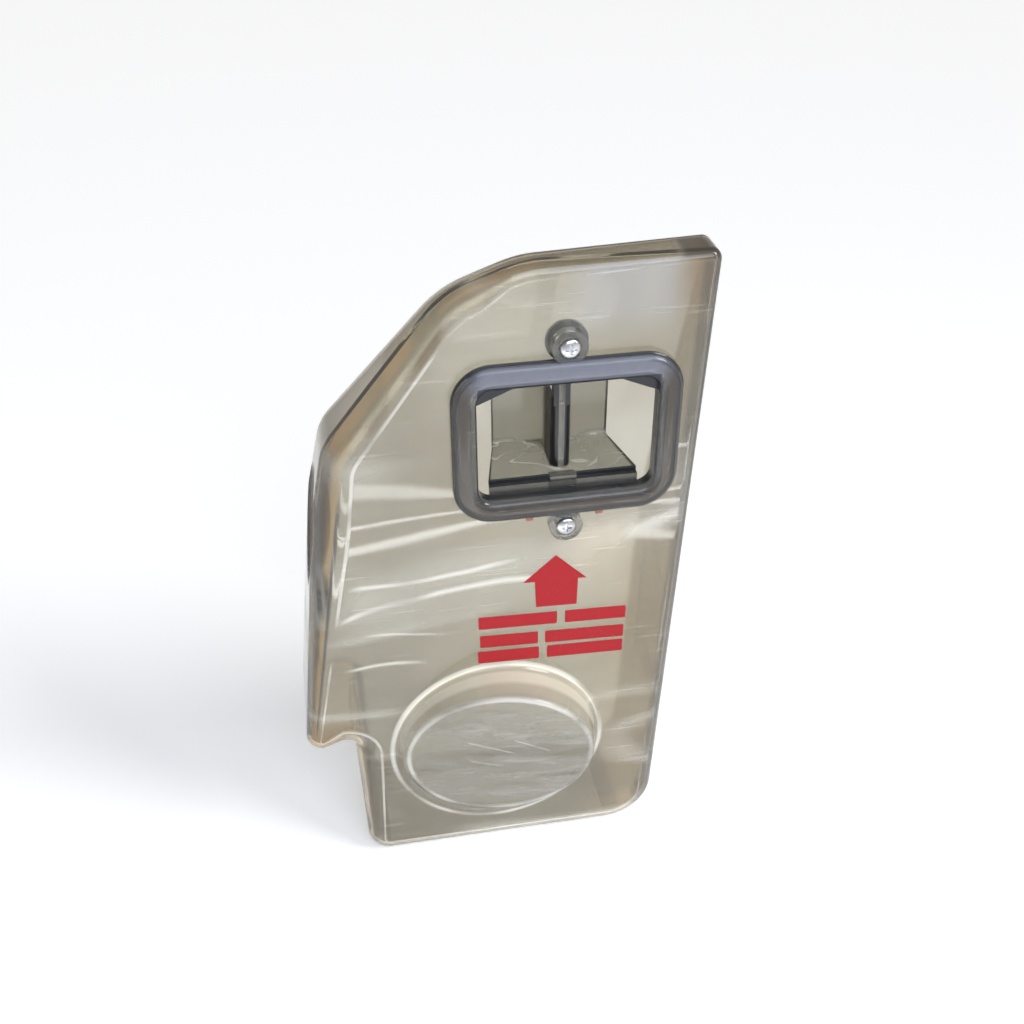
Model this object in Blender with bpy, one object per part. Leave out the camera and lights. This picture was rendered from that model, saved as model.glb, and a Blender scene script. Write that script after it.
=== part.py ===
"""Dirty water tank of a carpet cleaner: a clear blow moulded shell that stands on its flat base,
with a smoked pour spout frame, a seal and a splash baffle held by two screws.

Metres, +Z up. The front wall's outer face is the plane Y = 0, the spout is centred on X = 0,
and the base stands on Z = 0 before the whole tank is moved to its reference point.
"""
import math

import bmesh
import bpy
from mathutils import Matrix, Vector

# Fit between pieces that touch, and the step between faces of shapes that are joined into one
TOUCH_GAP = 0.0003
JOIN_STEP = 0.0003

# Tank outline, seen from the front
TANK_HEIGHT = 0.3668
BASE_LEFT = -0.112
BASE_RIGHT = 0.0578
TOP_RIGHT = 0.0703
CREST_X = -0.020
BEND_X = -0.0560
BEND_DROP = 0.0138
SHOULDER_X = -0.1150
SHOULDER_DROP = 0.0885
GRIP_X = -0.1236
GRIP_DROP = 0.1308
OVERHANG_X = -0.1412
NOTCH_X = -0.1143
NOTCH_Z = 0.0895
BASE_LEFT_RADIUS = 0.013
BASE_RIGHT_RADIUS = 0.028
TOP_RIGHT_RADIUS = 0.0055
CREST_RADIUS = 0.050
BEND_RADIUS = 0.050
SHOULDER_RADIUS = 0.034
GRIP_RADIUS = 0.060
OVERHANG_RADIUS = 0.0088
NOTCH_RADIUS = 0.006

# Front edge fillets along that outline
BASE_FILLET = 0.010
TOP_FILLET = 0.0046
CREST_FILLET = 0.0080
SLOPE_FILLET = 0.0130
SHOULDER_FILLET = 0.016
GRIP_FILLET = 0.0185
OVERHANG_FILLET = 0.008
NOTCH_FILLET = 0.015

# Tank depth, wall and rear edge
BASE_DEPTH = 0.072
TOP_DEPTH = 0.022
SLOPE_DROP = 0.1738
SLOPE_BLEND = 0.045
REAR_FILLET = 0.013
FRONT_ZONE = 0.010
REAR_ROUNDING_SHARE = 0.85
WALL = 0.0026

# Round boss low on the front wall
BOSS_X = -0.0354
BOSS_Z = 0.0815
BOSS_RADIUS = 0.0590
BOSS_FACE_RADIUS = 0.0520
BOSS_HEIGHT = 0.0115
BOSS_RISE_UP = 0.165
BOSS_RISE_RIGHT = 0.110
BOSS_EDGE_RADIUS = 0.003
BOSS_ROOT_RADIUS = 0.004
BOSS_FLARE = 0.003
BOSS_FLARE_HEIGHT = 0.0012
BOSS_SINK = 0.0012

# Finger recess in the left wall
RECESS_Y = 0.030
RECESS_DROP = 0.1318
RECESS_DEPTH = 0.007
RECESS_CURVE = 0.030
RECESS_RIM_HALF_DEPTH = 0.019
RECESS_RIM_HALF_HEIGHT = 0.038

# Pour spout opening and frame
SPOUT_DROP = 0.0879
OPENING_WIDTH = 0.086
OPENING_HEIGHT = 0.0612
OPENING_RADIUS = 0.0075
RIM_WIDTH = 0.012
RIM_HEIGHT = 0.0052
RIM_EDGE_HEIGHT = 0.0016
RIM_EDGE_CHAMFER = 0.0004
RIM_EDGE_STEP = 0.0007
RIM_FULLNESS = 0.8
COLLAR_WALL = 0.0018
COLLAR_DEPTH = 0.0023
PORT_CLEARANCE = 0.0004
HAUNCH_WIDTH = 0.020
HAUNCH_HEIGHT = 0.0092

# Seal under the frame
SEAL_THICKNESS = 0.0015
SEAL_INSET = 0.0010
SEAL_WIDTH = 0.0080
SEAL_TAB_WIDTH = 0.0034
SEAL_TAB_LENGTH = 0.0022
SEAL_TAB_SPACING = 0.0350

# Screws and the ears that they hold
SCREW_BEYOND_RIM = 0.0062
SCREW_HEAD_DIAMETER = 0.0094
SCREW_HEAD_HEIGHT = 0.0031
SCREW_HEAD_SIDE = 0.0014
SCREW_SHANK_DIAMETER = 0.0040
SCREW_LENGTH = 0.0150
SCREW_TIP = 0.0020
SCREW_TIP_RADIUS = 0.0005
CROSS_WIDTH = 0.0013
CROSS_SPAN = 0.0050
CROSS_DEPTH = 0.0016
HOLE_CLEARANCE = 0.0003
EAR_RADIUS = 0.0084
EAR_THICKNESS = 0.0052
EAR_SEAT_DEPTH = 0.0018
EAR_SEAT_CLEARANCE = 0.0007

# Splash baffle behind the opening
BAFFLE_WALL = 0.0022
BAFFLE_FLOOR_RISE = 0.0065
BAFFLE_FLOOR_FRONT = 0.0048
BAFFLE_FRONT_WIDTH = 0.0736
BAFFLE_BACK_WIDTH = 0.0592
BAFFLE_REAR_GAP = 0.0006
BAFFLE_TOP_DROP = 0.0167
DIVIDER_WIDTH = 0.0100
DIVIDER_FRONT_Y = 0.0095
LEFT_SWEEP_RADIUS = 0.0145
RIGHT_SWEEP_RADIUS = 0.0070
POST_DIAMETER = 0.0095
POST_LENGTH = 0.0125
PAD_DIAMETER = 0.0200
PAD_THICKNESS = 0.0024
LOWER_TONGUE_WIDTH = 0.0130
LOWER_TONGUE_DEPTH = 0.0060
WEB_INSET = 0.0010
WEB_LAP = 0.0030
POST_FLOOR = 0.0022

# Facets
DEGREES_PER_FACET = 11.5
FILLET_FACETS = 5
REAR_FACETS = 4
BOSS_FACETS = 60
ROUND_FACETS = 24
PAD_FACETS = 40
RIM_FACETS = 9
DOME_FACETS = 5
SLOPE_CUTS = 6
RECESS_FACETS = (32, 22)
SHARP_ANGLE = 32.0
CUT_MARGIN = 0.004

# Heights above the base of what hangs from the top of the tank
BEND_Z = TANK_HEIGHT - BEND_DROP
SHOULDER_Z = TANK_HEIGHT - SHOULDER_DROP
GRIP_Z = TANK_HEIGHT - GRIP_DROP
SLOPE_START_Z = TANK_HEIGHT - SLOPE_DROP
RECESS_Z = TANK_HEIGHT - RECESS_DROP
SPOUT_Z = TANK_HEIGHT - SPOUT_DROP


def unit(x, z):
    length = math.hypot(x, z)
    return x / length, z / length


def rounded_path(corners, closed=True):
    """Walk along a path of corners (x, z, radius, fillet) with the body on its left side.

    Gives points (x, z, outward x, outward z, fillet, rear fillet), with each corner as an arc.
    """
    points = []
    count = len(corners)
    for index, (x, z, radius, fillet) in enumerate(corners):
        before = corners[index - 1]
        after = corners[(index + 1) % count]
        if not closed and index == 0:
            direction = unit(after[0] - x, after[1] - z)
            points.append((x, z, direction[1], -direction[0], fillet, fillet))
            continue
        if not closed and index == count - 1:
            direction = unit(x - before[0], z - before[1])
            points.append((x, z, direction[1], -direction[0], fillet, fillet))
            continue
        way_in = unit(x - before[0], z - before[1])
        way_out = unit(after[0] - x, after[1] - z)
        turn = math.atan2(way_in[0] * way_out[1] - way_in[1] * way_out[0],
                          way_in[0] * way_out[0] + way_in[1] * way_out[1])
        side = 1.0 if turn > 0.0 else -1.0
        reach = radius * math.tan(abs(turn) / 2.0)
        start_angle = math.atan2(-way_in[0], way_in[1])
        centre_x = x - way_in[0] * reach - side * radius * way_in[1]
        centre_z = z - way_in[1] * reach + side * radius * way_in[0]
        facets = max(2, math.ceil(abs(math.degrees(turn)) / DEGREES_PER_FACET))
        rear = min(REAR_FILLET, radius * REAR_ROUNDING_SHARE) if turn > 0.0 else REAR_FILLET
        for step in range(facets + 1):
            angle = start_angle + turn * step / facets
            out_x = math.cos(angle)
            out_z = math.sin(angle)
            points.append((centre_x + side * radius * out_x, centre_z + side * radius * out_z,
                           out_x, out_z, fillet, rear))
    return points


def tank_outline():
    base_left = (BASE_LEFT, 0.0, BASE_LEFT_RADIUS, BASE_FILLET)
    base_right = (BASE_RIGHT, 0.0, BASE_RIGHT_RADIUS, BASE_FILLET)
    top_right = (TOP_RIGHT, TANK_HEIGHT, TOP_RIGHT_RADIUS, TOP_FILLET)
    crest = (CREST_X, TANK_HEIGHT, CREST_RADIUS, CREST_FILLET)
    bend = (BEND_X, BEND_Z, BEND_RADIUS, SLOPE_FILLET)
    shoulder = (SHOULDER_X, SHOULDER_Z, SHOULDER_RADIUS, SHOULDER_FILLET)
    grip = (GRIP_X, GRIP_Z, GRIP_RADIUS, GRIP_FILLET)
    overhang = (OVERHANG_X, NOTCH_Z, OVERHANG_RADIUS, OVERHANG_FILLET)
    notch = (NOTCH_X, NOTCH_Z, NOTCH_RADIUS, NOTCH_FILLET)
    return rounded_path([base_left, base_right, top_right, crest, bend,
                         shoulder, grip, overhang, notch])


def tank_depth_at(z):
    """The rear wall is upright low down, then leans forward to the narrow top."""
    slope = (BASE_DEPTH - TOP_DEPTH) / (TANK_HEIGHT - SLOPE_START_Z)
    above = z - SLOPE_START_Z
    if above <= -SLOPE_BLEND:
        return BASE_DEPTH
    if above < SLOPE_BLEND:
        return BASE_DEPTH - slope * (above + SLOPE_BLEND) ** 2 / (4.0 * SLOPE_BLEND)
    return BASE_DEPTH - slope * above


def make_object(name, mesh_data, material=None):
    mesh = bpy.data.meshes.new(name)
    mesh_data.normal_update()
    mesh_data.to_mesh(mesh)
    mesh_data.free()
    made = bpy.data.objects.new(name, mesh)
    bpy.context.scene.collection.objects.link(made)
    mesh.shade_smooth()
    mesh.set_sharp_from_angle(angle=math.radians(SHARP_ANGLE))
    if material:
        mesh.materials.append(material)
    return made


def make_cutter(name, mesh_data):
    made = make_object(name, mesh_data)
    made.hide_render = True
    made.display_type = "WIRE"
    return made


def combine(target, other, operation):
    modifier = target.modifiers.new(other.name, "BOOLEAN")
    modifier.operation = operation
    modifier.solver = "EXACT"
    modifier.object = other


def skin_rings(rings, loop_ends=False):
    """Join rings of points into one mesh, and close it with an end face or back to its start."""
    mesh_data = bmesh.new()
    made = [[mesh_data.verts.new(point) for point in ring] for ring in rings]
    count = len(made[0])
    bands = list(zip(made, made[1:]))
    if loop_ends:
        bands.append((made[-1], made[0]))
    for first, second in bands:
        for index in range(count):
            after = (index + 1) % count
            mesh_data.faces.new((first[index], first[after], second[after], second[index]))
    if not loop_ends:
        mesh_data.faces.new(list(reversed(made[0])))
        mesh_data.faces.new(made[-1])
    bmesh.ops.recalc_face_normals(mesh_data, faces=mesh_data.faces)
    return mesh_data


def tank_solid(shrink):
    """The tank's full form, or its cavity, which lies one wall inside that form."""
    outline = tank_outline()
    full_depth = BASE_DEPTH - shrink
    rear_radius = REAR_FILLET - shrink
    rings = []
    for step in range(FILLET_FACETS + 1):
        angle = math.pi / 2.0 * step / FILLET_FACETS
        ring = []
        for x, z, out_x, out_z, fillet, rear in outline:
            radius = fillet - shrink
            inset = shrink + radius * (1.0 - math.sin(angle))
            depth = shrink + radius * (1.0 - math.cos(angle))
            ring.append(Vector((x - out_x * inset, depth, z - out_z * inset)))
        rings.append(ring)
    for step in range(REAR_FACETS + 1):
        angle = math.pi / 2.0 * step / REAR_FACETS
        ring = []
        for x, z, out_x, out_z, fillet, rear in outline:
            radius = rear - shrink
            inset = shrink + radius * (1.0 - math.cos(angle))
            depth = full_depth - radius * (1.0 - math.sin(angle))
            ring.append(Vector((x - out_x * inset, depth, z - out_z * inset)))
        rings.append(ring)
    mesh_data = skin_rings(rings)
    for step in range(SLOPE_CUTS + 1):
        level = SLOPE_START_Z - SLOPE_BLEND + 2.0 * SLOPE_BLEND * step / SLOPE_CUTS
        everything = mesh_data.verts[:] + mesh_data.edges[:] + mesh_data.faces[:]
        bmesh.ops.bisect_plane(mesh_data, geom=everything, dist=1e-6,
                               plane_co=(0.0, 0.0, level), plane_no=(0.0, 0.0, 1.0))
    for vertex in mesh_data.verts:
        depth = tank_depth_at(vertex.co.z) - shrink
        squeeze = min(1.0, REAR_ROUNDING_SHARE * (depth - FRONT_ZONE) / rear_radius)
        rear_start = full_depth - rear_radius
        if vertex.co.y >= rear_start:
            vertex.co.y = depth - (full_depth - vertex.co.y) * squeeze
        elif vertex.co.y > FRONT_ZONE:
            share = (vertex.co.y - FRONT_ZONE) / (rear_start - FRONT_ZONE)
            vertex.co.y = FRONT_ZONE + share * (depth - rear_radius * squeeze - FRONT_ZONE)
    return mesh_data


def boss_solid(shrink):
    """The round boss on the front wall: a cone whose slanting face stands proudest at its upper right."""
    profile = rounded_path([(0.0, -BOSS_HEIGHT, 0.0, 0.0),
                            (BOSS_FACE_RADIUS, -BOSS_HEIGHT, BOSS_EDGE_RADIUS, 0.0),
                            (BOSS_RADIUS - BOSS_FLARE, -BOSS_FLARE_HEIGHT, BOSS_ROOT_RADIUS, 0.0),
                            (BOSS_RADIUS + BOSS_FLARE, BOSS_SINK, 0.0, 0.0)], closed=False)
    rings = []
    for radius, y, out_r, out_y, _, _ in profile[1:]:
        ring_radius = radius - out_r * shrink
        ring_y = y - out_y * shrink
        ring = []
        for step in range(BOSS_FACETS):
            angle = 2.0 * math.pi * step / BOSS_FACETS
            lean = BOSS_RISE_RIGHT * math.cos(angle) + BOSS_RISE_UP * math.sin(angle)
            height = ring_y
            if ring_y < shrink:
                height = shrink + (ring_y - shrink) * (1.0 + lean * BOSS_FACE_RADIUS / BOSS_HEIGHT)
            ring.append(Vector((BOSS_X + ring_radius * math.cos(angle), height,
                                BOSS_Z + ring_radius * math.sin(angle))))
        rings.append(ring)
    return skin_rings(rings)


def recess_solid(grow):
    """The ball-shaped scoop in the left wall that the fingers reach into."""
    wall_share = (RECESS_Z - NOTCH_Z) / (GRIP_Z - NOTCH_Z)
    wall_x = OVERHANG_X + (GRIP_X - OVERHANG_X) * wall_share
    rim_share = math.sqrt(1.0 - (1.0 - RECESS_DEPTH / RECESS_CURVE) ** 2)
    half_x = RECESS_CURVE + grow
    half_y = RECESS_RIM_HALF_DEPTH / rim_share + grow
    half_z = RECESS_RIM_HALF_HEIGHT / rim_share + grow
    mesh_data = bmesh.new()
    bmesh.ops.create_uvsphere(mesh_data, u_segments=RECESS_FACETS[0],
                              v_segments=RECESS_FACETS[1], radius=1.0)
    centre = Vector((wall_x + RECESS_DEPTH - RECESS_CURVE, RECESS_Y, RECESS_Z))
    for vertex in mesh_data.verts:
        vertex.co = Vector((vertex.co.x * half_x, vertex.co.y * half_y, vertex.co.z * half_z)) + centre
    return mesh_data


def bar_along_y(radius, front, back, x, z, facets=ROUND_FACETS):
    """A round bar or hole along Y, from its front end to its back end."""
    rings = []
    for y in (front, back):
        rings.append([Vector((x + radius * math.cos(2.0 * math.pi * step / facets), y,
                              z + radius * math.sin(2.0 * math.pi * step / facets)))
                      for step in range(facets)])
    return skin_rings(rings)


def block(x_range, y_range, z_range):
    mesh_data = bmesh.new()
    size = Vector((x_range[1] - x_range[0], y_range[1] - y_range[0], z_range[1] - z_range[0]))
    middle = Vector((sum(x_range) / 2.0, sum(y_range) / 2.0, sum(z_range) / 2.0))
    placing = Matrix.Translation(middle) @ Matrix.Diagonal((size.x, size.y, size.z, 1.0))
    bmesh.ops.create_cube(mesh_data, size=1.0, matrix=placing)
    return mesh_data


def spout_rectangle(grow):
    """The opening's outline around the spout's centre, moved outward by a distance."""
    half_width = OPENING_WIDTH / 2.0 + grow
    half_height = OPENING_HEIGHT / 2.0 + grow
    radius = OPENING_RADIUS + grow
    corners = [(-half_width, SPOUT_Z - half_height, radius, 0.0),
               (half_width, SPOUT_Z - half_height, radius, 0.0),
               (half_width, SPOUT_Z + half_height, radius, 0.0),
               (-half_width, SPOUT_Z + half_height, radius, 0.0)]
    return rounded_path(corners)


def swept_frame(outline, profile):
    """Sweep a closed profile of (inset, y) points around an outline."""
    rings = []
    for inset, y in profile:
        rings.append([Vector((x - out_x * inset, y, z - out_z * inset))
                      for x, z, out_x, out_z, _, _ in outline])
    return skin_rings(rings, loop_ends=True)


def prism(points, low, high):
    """Extrude a list of (x, y) points along Z."""
    return skin_rings([[Vector((x, y, z)) for x, y in points] for z in (low, high)])


def screw_places():
    reach = OPENING_HEIGHT / 2.0 + RIM_WIDTH + SCREW_BEYOND_RIM
    return {"upper": SPOUT_Z + reach, "lower": SPOUT_Z - reach}


def plastic(name, color, roughness, transmission=0.0, alpha=1.0, metallic=0.0):
    material = bpy.data.materials.new(name)
    material.use_nodes = True
    shader = material.node_tree.nodes["Principled BSDF"]
    shader.inputs["Base Color"].default_value = (*color, 1.0)
    shader.inputs["Roughness"].default_value = roughness
    shader.inputs["Metallic"].default_value = metallic
    shader.inputs["Transmission Weight"].default_value = transmission
    shader.inputs["Alpha"].default_value = alpha
    return material


def build_tank_shell():
    clear = plastic("clear_tank", (0.78, 0.74, 0.62), 0.12, transmission=0.8)
    shell = make_object("tank_shell", tank_solid(0.0), clear)
    cavity = make_cutter("cutter_cavity", tank_solid(WALL))
    combine(cavity, make_cutter("cutter_boss_inside", boss_solid(WALL)), "UNION")
    combine(cavity, make_cutter("cutter_recess_inside", recess_solid(WALL)), "DIFFERENCE")
    combine(shell, make_cutter("cutter_boss", boss_solid(0.0)), "UNION")
    combine(shell, make_cutter("cutter_recess", recess_solid(0.0)), "DIFFERENCE")
    combine(shell, cavity, "DIFFERENCE")
    port = spout_rectangle(COLLAR_WALL + PORT_CLEARANCE)
    rings = [[Vector((x, y, z)) for x, z, _, _, _, _ in port] for y in (-CUT_MARGIN, WALL + CUT_MARGIN)]
    combine(shell, make_cutter("cutter_port", skin_rings(rings)), "DIFFERENCE")
    hole_radius = SCREW_SHANK_DIAMETER / 2.0 + HOLE_CLEARANCE
    for place, z in screw_places().items():
        hole = bar_along_y(hole_radius, -CUT_MARGIN, WALL + CUT_MARGIN, 0.0, z)
        combine(shell, make_cutter(f"cutter_{place}_wall_hole", hole), "DIFFERENCE")


def frame_back():
    return -(TOUCH_GAP + SEAL_THICKNESS + TOUCH_GAP)


def build_spout_frame():
    smoked = plastic("smoked_frame", (0.16, 0.16, 0.15), 0.15, transmission=0.5)
    back = frame_back()
    shelf = back - RIM_EDGE_HEIGHT
    crown = back - RIM_HEIGHT
    profile = [(0.0, back), (0.0, shelf + RIM_EDGE_CHAMFER), (RIM_EDGE_CHAMFER, shelf),
               (RIM_EDGE_STEP, shelf)]
    middle = (RIM_WIDTH + RIM_EDGE_STEP) / 2.0
    half = (RIM_WIDTH - RIM_EDGE_STEP) / 2.0
    for step in range(1, RIM_FACETS):
        angle = math.pi * step / RIM_FACETS
        rise = (shelf - crown) * math.sin(angle) ** RIM_FULLNESS
        profile.append((middle - half * math.cos(angle), shelf - rise))
    profile += [(RIM_WIDTH, shelf), (RIM_WIDTH, COLLAR_DEPTH),
                (RIM_WIDTH - COLLAR_WALL, COLLAR_DEPTH), (RIM_WIDTH - COLLAR_WALL, back)]
    frame = make_object("spout_frame", swept_frame(spout_rectangle(RIM_WIDTH), profile), smoked)
    opening_top = SPOUT_Z + OPENING_HEIGHT / 2.0
    overlap = COLLAR_WALL / 2.0
    outer = OPENING_WIDTH / 2.0 + overlap
    inner = OPENING_WIDTH / 2.0 - HAUNCH_WIDTH
    corner_path = rounded_path([(outer, opening_top - HAUNCH_HEIGHT, 0.0, 0.0),
                                (outer, opening_top + overlap, OPENING_RADIUS + overlap, 0.0),
                                (inner, opening_top + overlap, 0.0, 0.0)], closed=False)
    gusset = [(x, z) for x, z, _, _, _, _ in corner_path] + [(inner, opening_top - JOIN_STEP)]
    for name, side in (("left_haunch", -1.0), ("right_haunch", 1.0)):
        rings = [[Vector((side * x, y, z)) for x, z in gusset] for y in (back, COLLAR_DEPTH - JOIN_STEP)]
        combine(frame, make_cutter(f"cutter_{name}", skin_rings(rings)), "UNION")
    seat_radius = SCREW_HEAD_DIAMETER / 2.0 + EAR_SEAT_CLEARANCE
    hole_radius = SCREW_SHANK_DIAMETER / 2.0 + HOLE_CLEARANCE
    ear_front = -TOUCH_GAP - EAR_THICKNESS
    rim_half = OPENING_HEIGHT / 2.0 + RIM_WIDTH
    for place, z in screw_places().items():
        ear = make_cutter(f"cutter_{place}_ear", bar_along_y(EAR_RADIUS, ear_front, -TOUCH_GAP, 0.0, z))
        seal_room = block((-EAR_RADIUS * 2.0, EAR_RADIUS * 2.0), (back, CUT_MARGIN),
                          (SPOUT_Z - rim_half - TOUCH_GAP, SPOUT_Z + rim_half + TOUCH_GAP))
        combine(ear, make_cutter(f"cutter_{place}_ear_foot", seal_room), "DIFFERENCE")
        combine(frame, ear, "UNION")
        seat = bar_along_y(seat_radius, ear_front - CUT_MARGIN, ear_front + EAR_SEAT_DEPTH, 0.0, z)
        combine(frame, make_cutter(f"cutter_{place}_seat", seat), "DIFFERENCE")
        hole = bar_along_y(hole_radius, ear_front - CUT_MARGIN, CUT_MARGIN, 0.0, z)
        combine(frame, make_cutter(f"cutter_{place}_ear_hole", hole), "DIFFERENCE")


def build_spout_seal():
    red = plastic("red_rubber", (0.45, 0.12, 0.09), 0.6)
    front = -TOUCH_GAP - SEAL_THICKNESS
    profile = [(SEAL_INSET, -TOUCH_GAP), (SEAL_INSET, front),
               (SEAL_INSET + SEAL_WIDTH, front), (SEAL_INSET + SEAL_WIDTH, -TOUCH_GAP)]
    seal = make_object("spout_seal", swept_frame(spout_rectangle(RIM_WIDTH), profile), red)
    rim_low = SPOUT_Z - OPENING_HEIGHT / 2.0 - RIM_WIDTH
    for side in (-1.0, 1.0):
        middle = side * SEAL_TAB_SPACING / 2.0
        tab = block((middle - SEAL_TAB_WIDTH / 2.0, middle + SEAL_TAB_WIDTH / 2.0), (front, -TOUCH_GAP),
                    (rim_low - SEAL_TAB_LENGTH, rim_low + SEAL_INSET + SEAL_WIDTH / 2.0))
        name = "left_tab" if side < 0.0 else "right_tab"
        combine(seal, make_cutter(f"cutter_{name}", tab), "UNION")


def build_spout_baffle():
    smoked = plastic("smoked_baffle", (0.22, 0.22, 0.19), 0.15, transmission=0.6)
    half_back = BAFFLE_BACK_WIDTH / 2.0
    half_front = BAFFLE_FRONT_WIDTH / 2.0
    half_divider = DIVIDER_WIDTH / 2.0
    nose = half_divider - JOIN_STEP
    floor_top = SPOUT_Z - OPENING_HEIGHT / 2.0 + BAFFLE_FLOOR_RISE
    floor_low = floor_top - BAFFLE_WALL
    wall_top = SPOUT_Z + OPENING_HEIGHT / 2.0 - BAFFLE_TOP_DROP
    back = tank_depth_at(wall_top) - WALL - BAFFLE_REAR_GAP - BAFFLE_WALL
    walk = rounded_path([(-half_back, back, 0.0, 0.0),
                         (-half_divider, back, LEFT_SWEEP_RADIUS, 0.0),
                         (-half_divider, DIVIDER_FRONT_Y, nose, 0.0),
                         (half_divider, DIVIDER_FRONT_Y, nose, 0.0),
                         (half_divider, back, RIGHT_SWEEP_RADIUS, 0.0),
                         (half_back, back, 0.0, 0.0)], closed=False)
    front_side = [(x, y) for x, y, _, _, _, _ in walk]
    rear_side = [(x - out_x * BAFFLE_WALL, y - out_y * BAFFLE_WALL) for x, y, out_x, out_y, _, _ in walk]
    baffle = make_object("spout_baffle", prism(front_side + rear_side[::-1], floor_low, wall_top), smoked)
    floor_back = back + BAFFLE_WALL / 2.0
    floor_plan = [(-half_front, BAFFLE_FLOOR_FRONT), (half_front, BAFFLE_FLOOR_FRONT),
                  (half_back - JOIN_STEP, floor_back), (JOIN_STEP - half_back, floor_back)]
    floor = prism(floor_plan, floor_low - JOIN_STEP, floor_top)
    combine(baffle, make_cutter("cutter_floor", floor), "UNION")
    wall_inside = WALL + TOUCH_GAP
    strip = half_divider - WEB_INSET
    places = screw_places()
    web = block((-strip, strip), (DIVIDER_FRONT_Y + JOIN_STEP, wall_inside + POST_LENGTH - JOIN_STEP),
                (wall_top - WEB_LAP, places["upper"]))
    combine(baffle, make_cutter("cutter_upper_web", web), "UNION")
    half_tongue = LOWER_TONGUE_WIDTH / 2.0
    tongue = block((-half_tongue, half_tongue), (wall_inside, wall_inside + LOWER_TONGUE_DEPTH),
                   (places["lower"], floor_top - JOIN_STEP))
    combine(baffle, make_cutter("cutter_lower_tongue", tongue), "UNION")
    hole_radius = SCREW_SHANK_DIAMETER / 2.0 + HOLE_CLEARANCE
    post_end = wall_inside + POST_LENGTH
    for place, z in places.items():
        post = bar_along_y(POST_DIAMETER / 2.0, wall_inside + JOIN_STEP, post_end, 0.0, z)
        combine(baffle, make_cutter(f"cutter_{place}_post", post), "UNION")
        if place == "upper":
            pad = bar_along_y(PAD_DIAMETER / 2.0, wall_inside, wall_inside + PAD_THICKNESS, 0.0, z,
                              PAD_FACETS)
            combine(baffle, make_cutter("cutter_upper_pad", pad), "UNION")
        hole = bar_along_y(hole_radius, wall_inside - CUT_MARGIN, post_end - POST_FLOOR, 0.0, z)
        combine(baffle, make_cutter(f"cutter_{place}_post_hole", hole), "DIFFERENCE")


def build_screws():
    zinc = plastic("zinc_screw", (0.72, 0.72, 0.72), 0.25, metallic=1.0)
    seat = -TOUCH_GAP - EAR_THICKNESS + EAR_SEAT_DEPTH - TOUCH_GAP
    head_radius = SCREW_HEAD_DIAMETER / 2.0
    shank_radius = SCREW_SHANK_DIAMETER / 2.0
    dome = [(head_radius, seat), (head_radius, seat - SCREW_HEAD_SIDE)]
    for step in range(1, DOME_FACETS):
        angle = math.pi / 2.0 * step / DOME_FACETS
        rise = SCREW_HEAD_SIDE + (SCREW_HEAD_HEIGHT - SCREW_HEAD_SIDE) * math.sin(angle)
        dome.append((head_radius * math.cos(angle), seat - rise))
    tip = seat + SCREW_LENGTH
    profile = [(SCREW_TIP_RADIUS, tip), (shank_radius, tip - SCREW_TIP), (shank_radius, seat)] + dome
    for place, z in screw_places().items():
        rings = []
        for radius, y in profile:
            rings.append([Vector((radius * math.cos(2.0 * math.pi * step / ROUND_FACETS), y,
                                  z + radius * math.sin(2.0 * math.pi * step / ROUND_FACETS)))
                          for step in range(ROUND_FACETS)])
        screw = make_object(f"{place}_screw", skin_rings(rings), zinc)
        crown = seat - SCREW_HEAD_HEIGHT
        for name, half_x, half_z in (("flat", CROSS_SPAN / 2.0, CROSS_WIDTH / 2.0),
                                     ("upright", CROSS_WIDTH / 2.0, CROSS_SPAN / 2.0)):
            slot = block((-half_x, half_x), (crown - CUT_MARGIN, crown + CROSS_DEPTH),
                         (z - half_z, z + half_z))
            combine(screw, make_cutter(f"cutter_{place}_{name}_slot", slot), "DIFFERENCE")


def move_to_reference():
    """Carry every piece on one empty, so that the origin lies on the ground under the middle."""
    pieces = list(bpy.context.scene.collection.objects)
    state = bpy.context.evaluated_depsgraph_get()
    corners = []
    for piece in pieces:
        if not piece.hide_render:
            corners += [Vector(corner) for corner in piece.evaluated_get(state).bound_box]
    middle_x = (min(corner.x for corner in corners) + max(corner.x for corner in corners)) / 2.0
    middle_y = (min(corner.y for corner in corners) + max(corner.y for corner in corners)) / 2.0
    lowest = min(corner.z for corner in corners)
    reference = bpy.data.objects.new("reference_point", None)
    bpy.context.scene.collection.objects.link(reference)
    for piece in pieces:
        piece.parent = reference
    reference.location = (-middle_x, -middle_y, -lowest)


def main():
    for old in list(bpy.data.objects):
        bpy.data.objects.remove(old)
    build_tank_shell()
    build_spout_frame()
    build_spout_seal()
    build_spout_baffle()
    build_screws()
    move_to_reference()


main()
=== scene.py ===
"""Clear dirty water tank with its smoked pour spout, dressed over the CAD frame."""

import math

import bmesh
import bpy
from mathutils import Matrix, Vector


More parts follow.
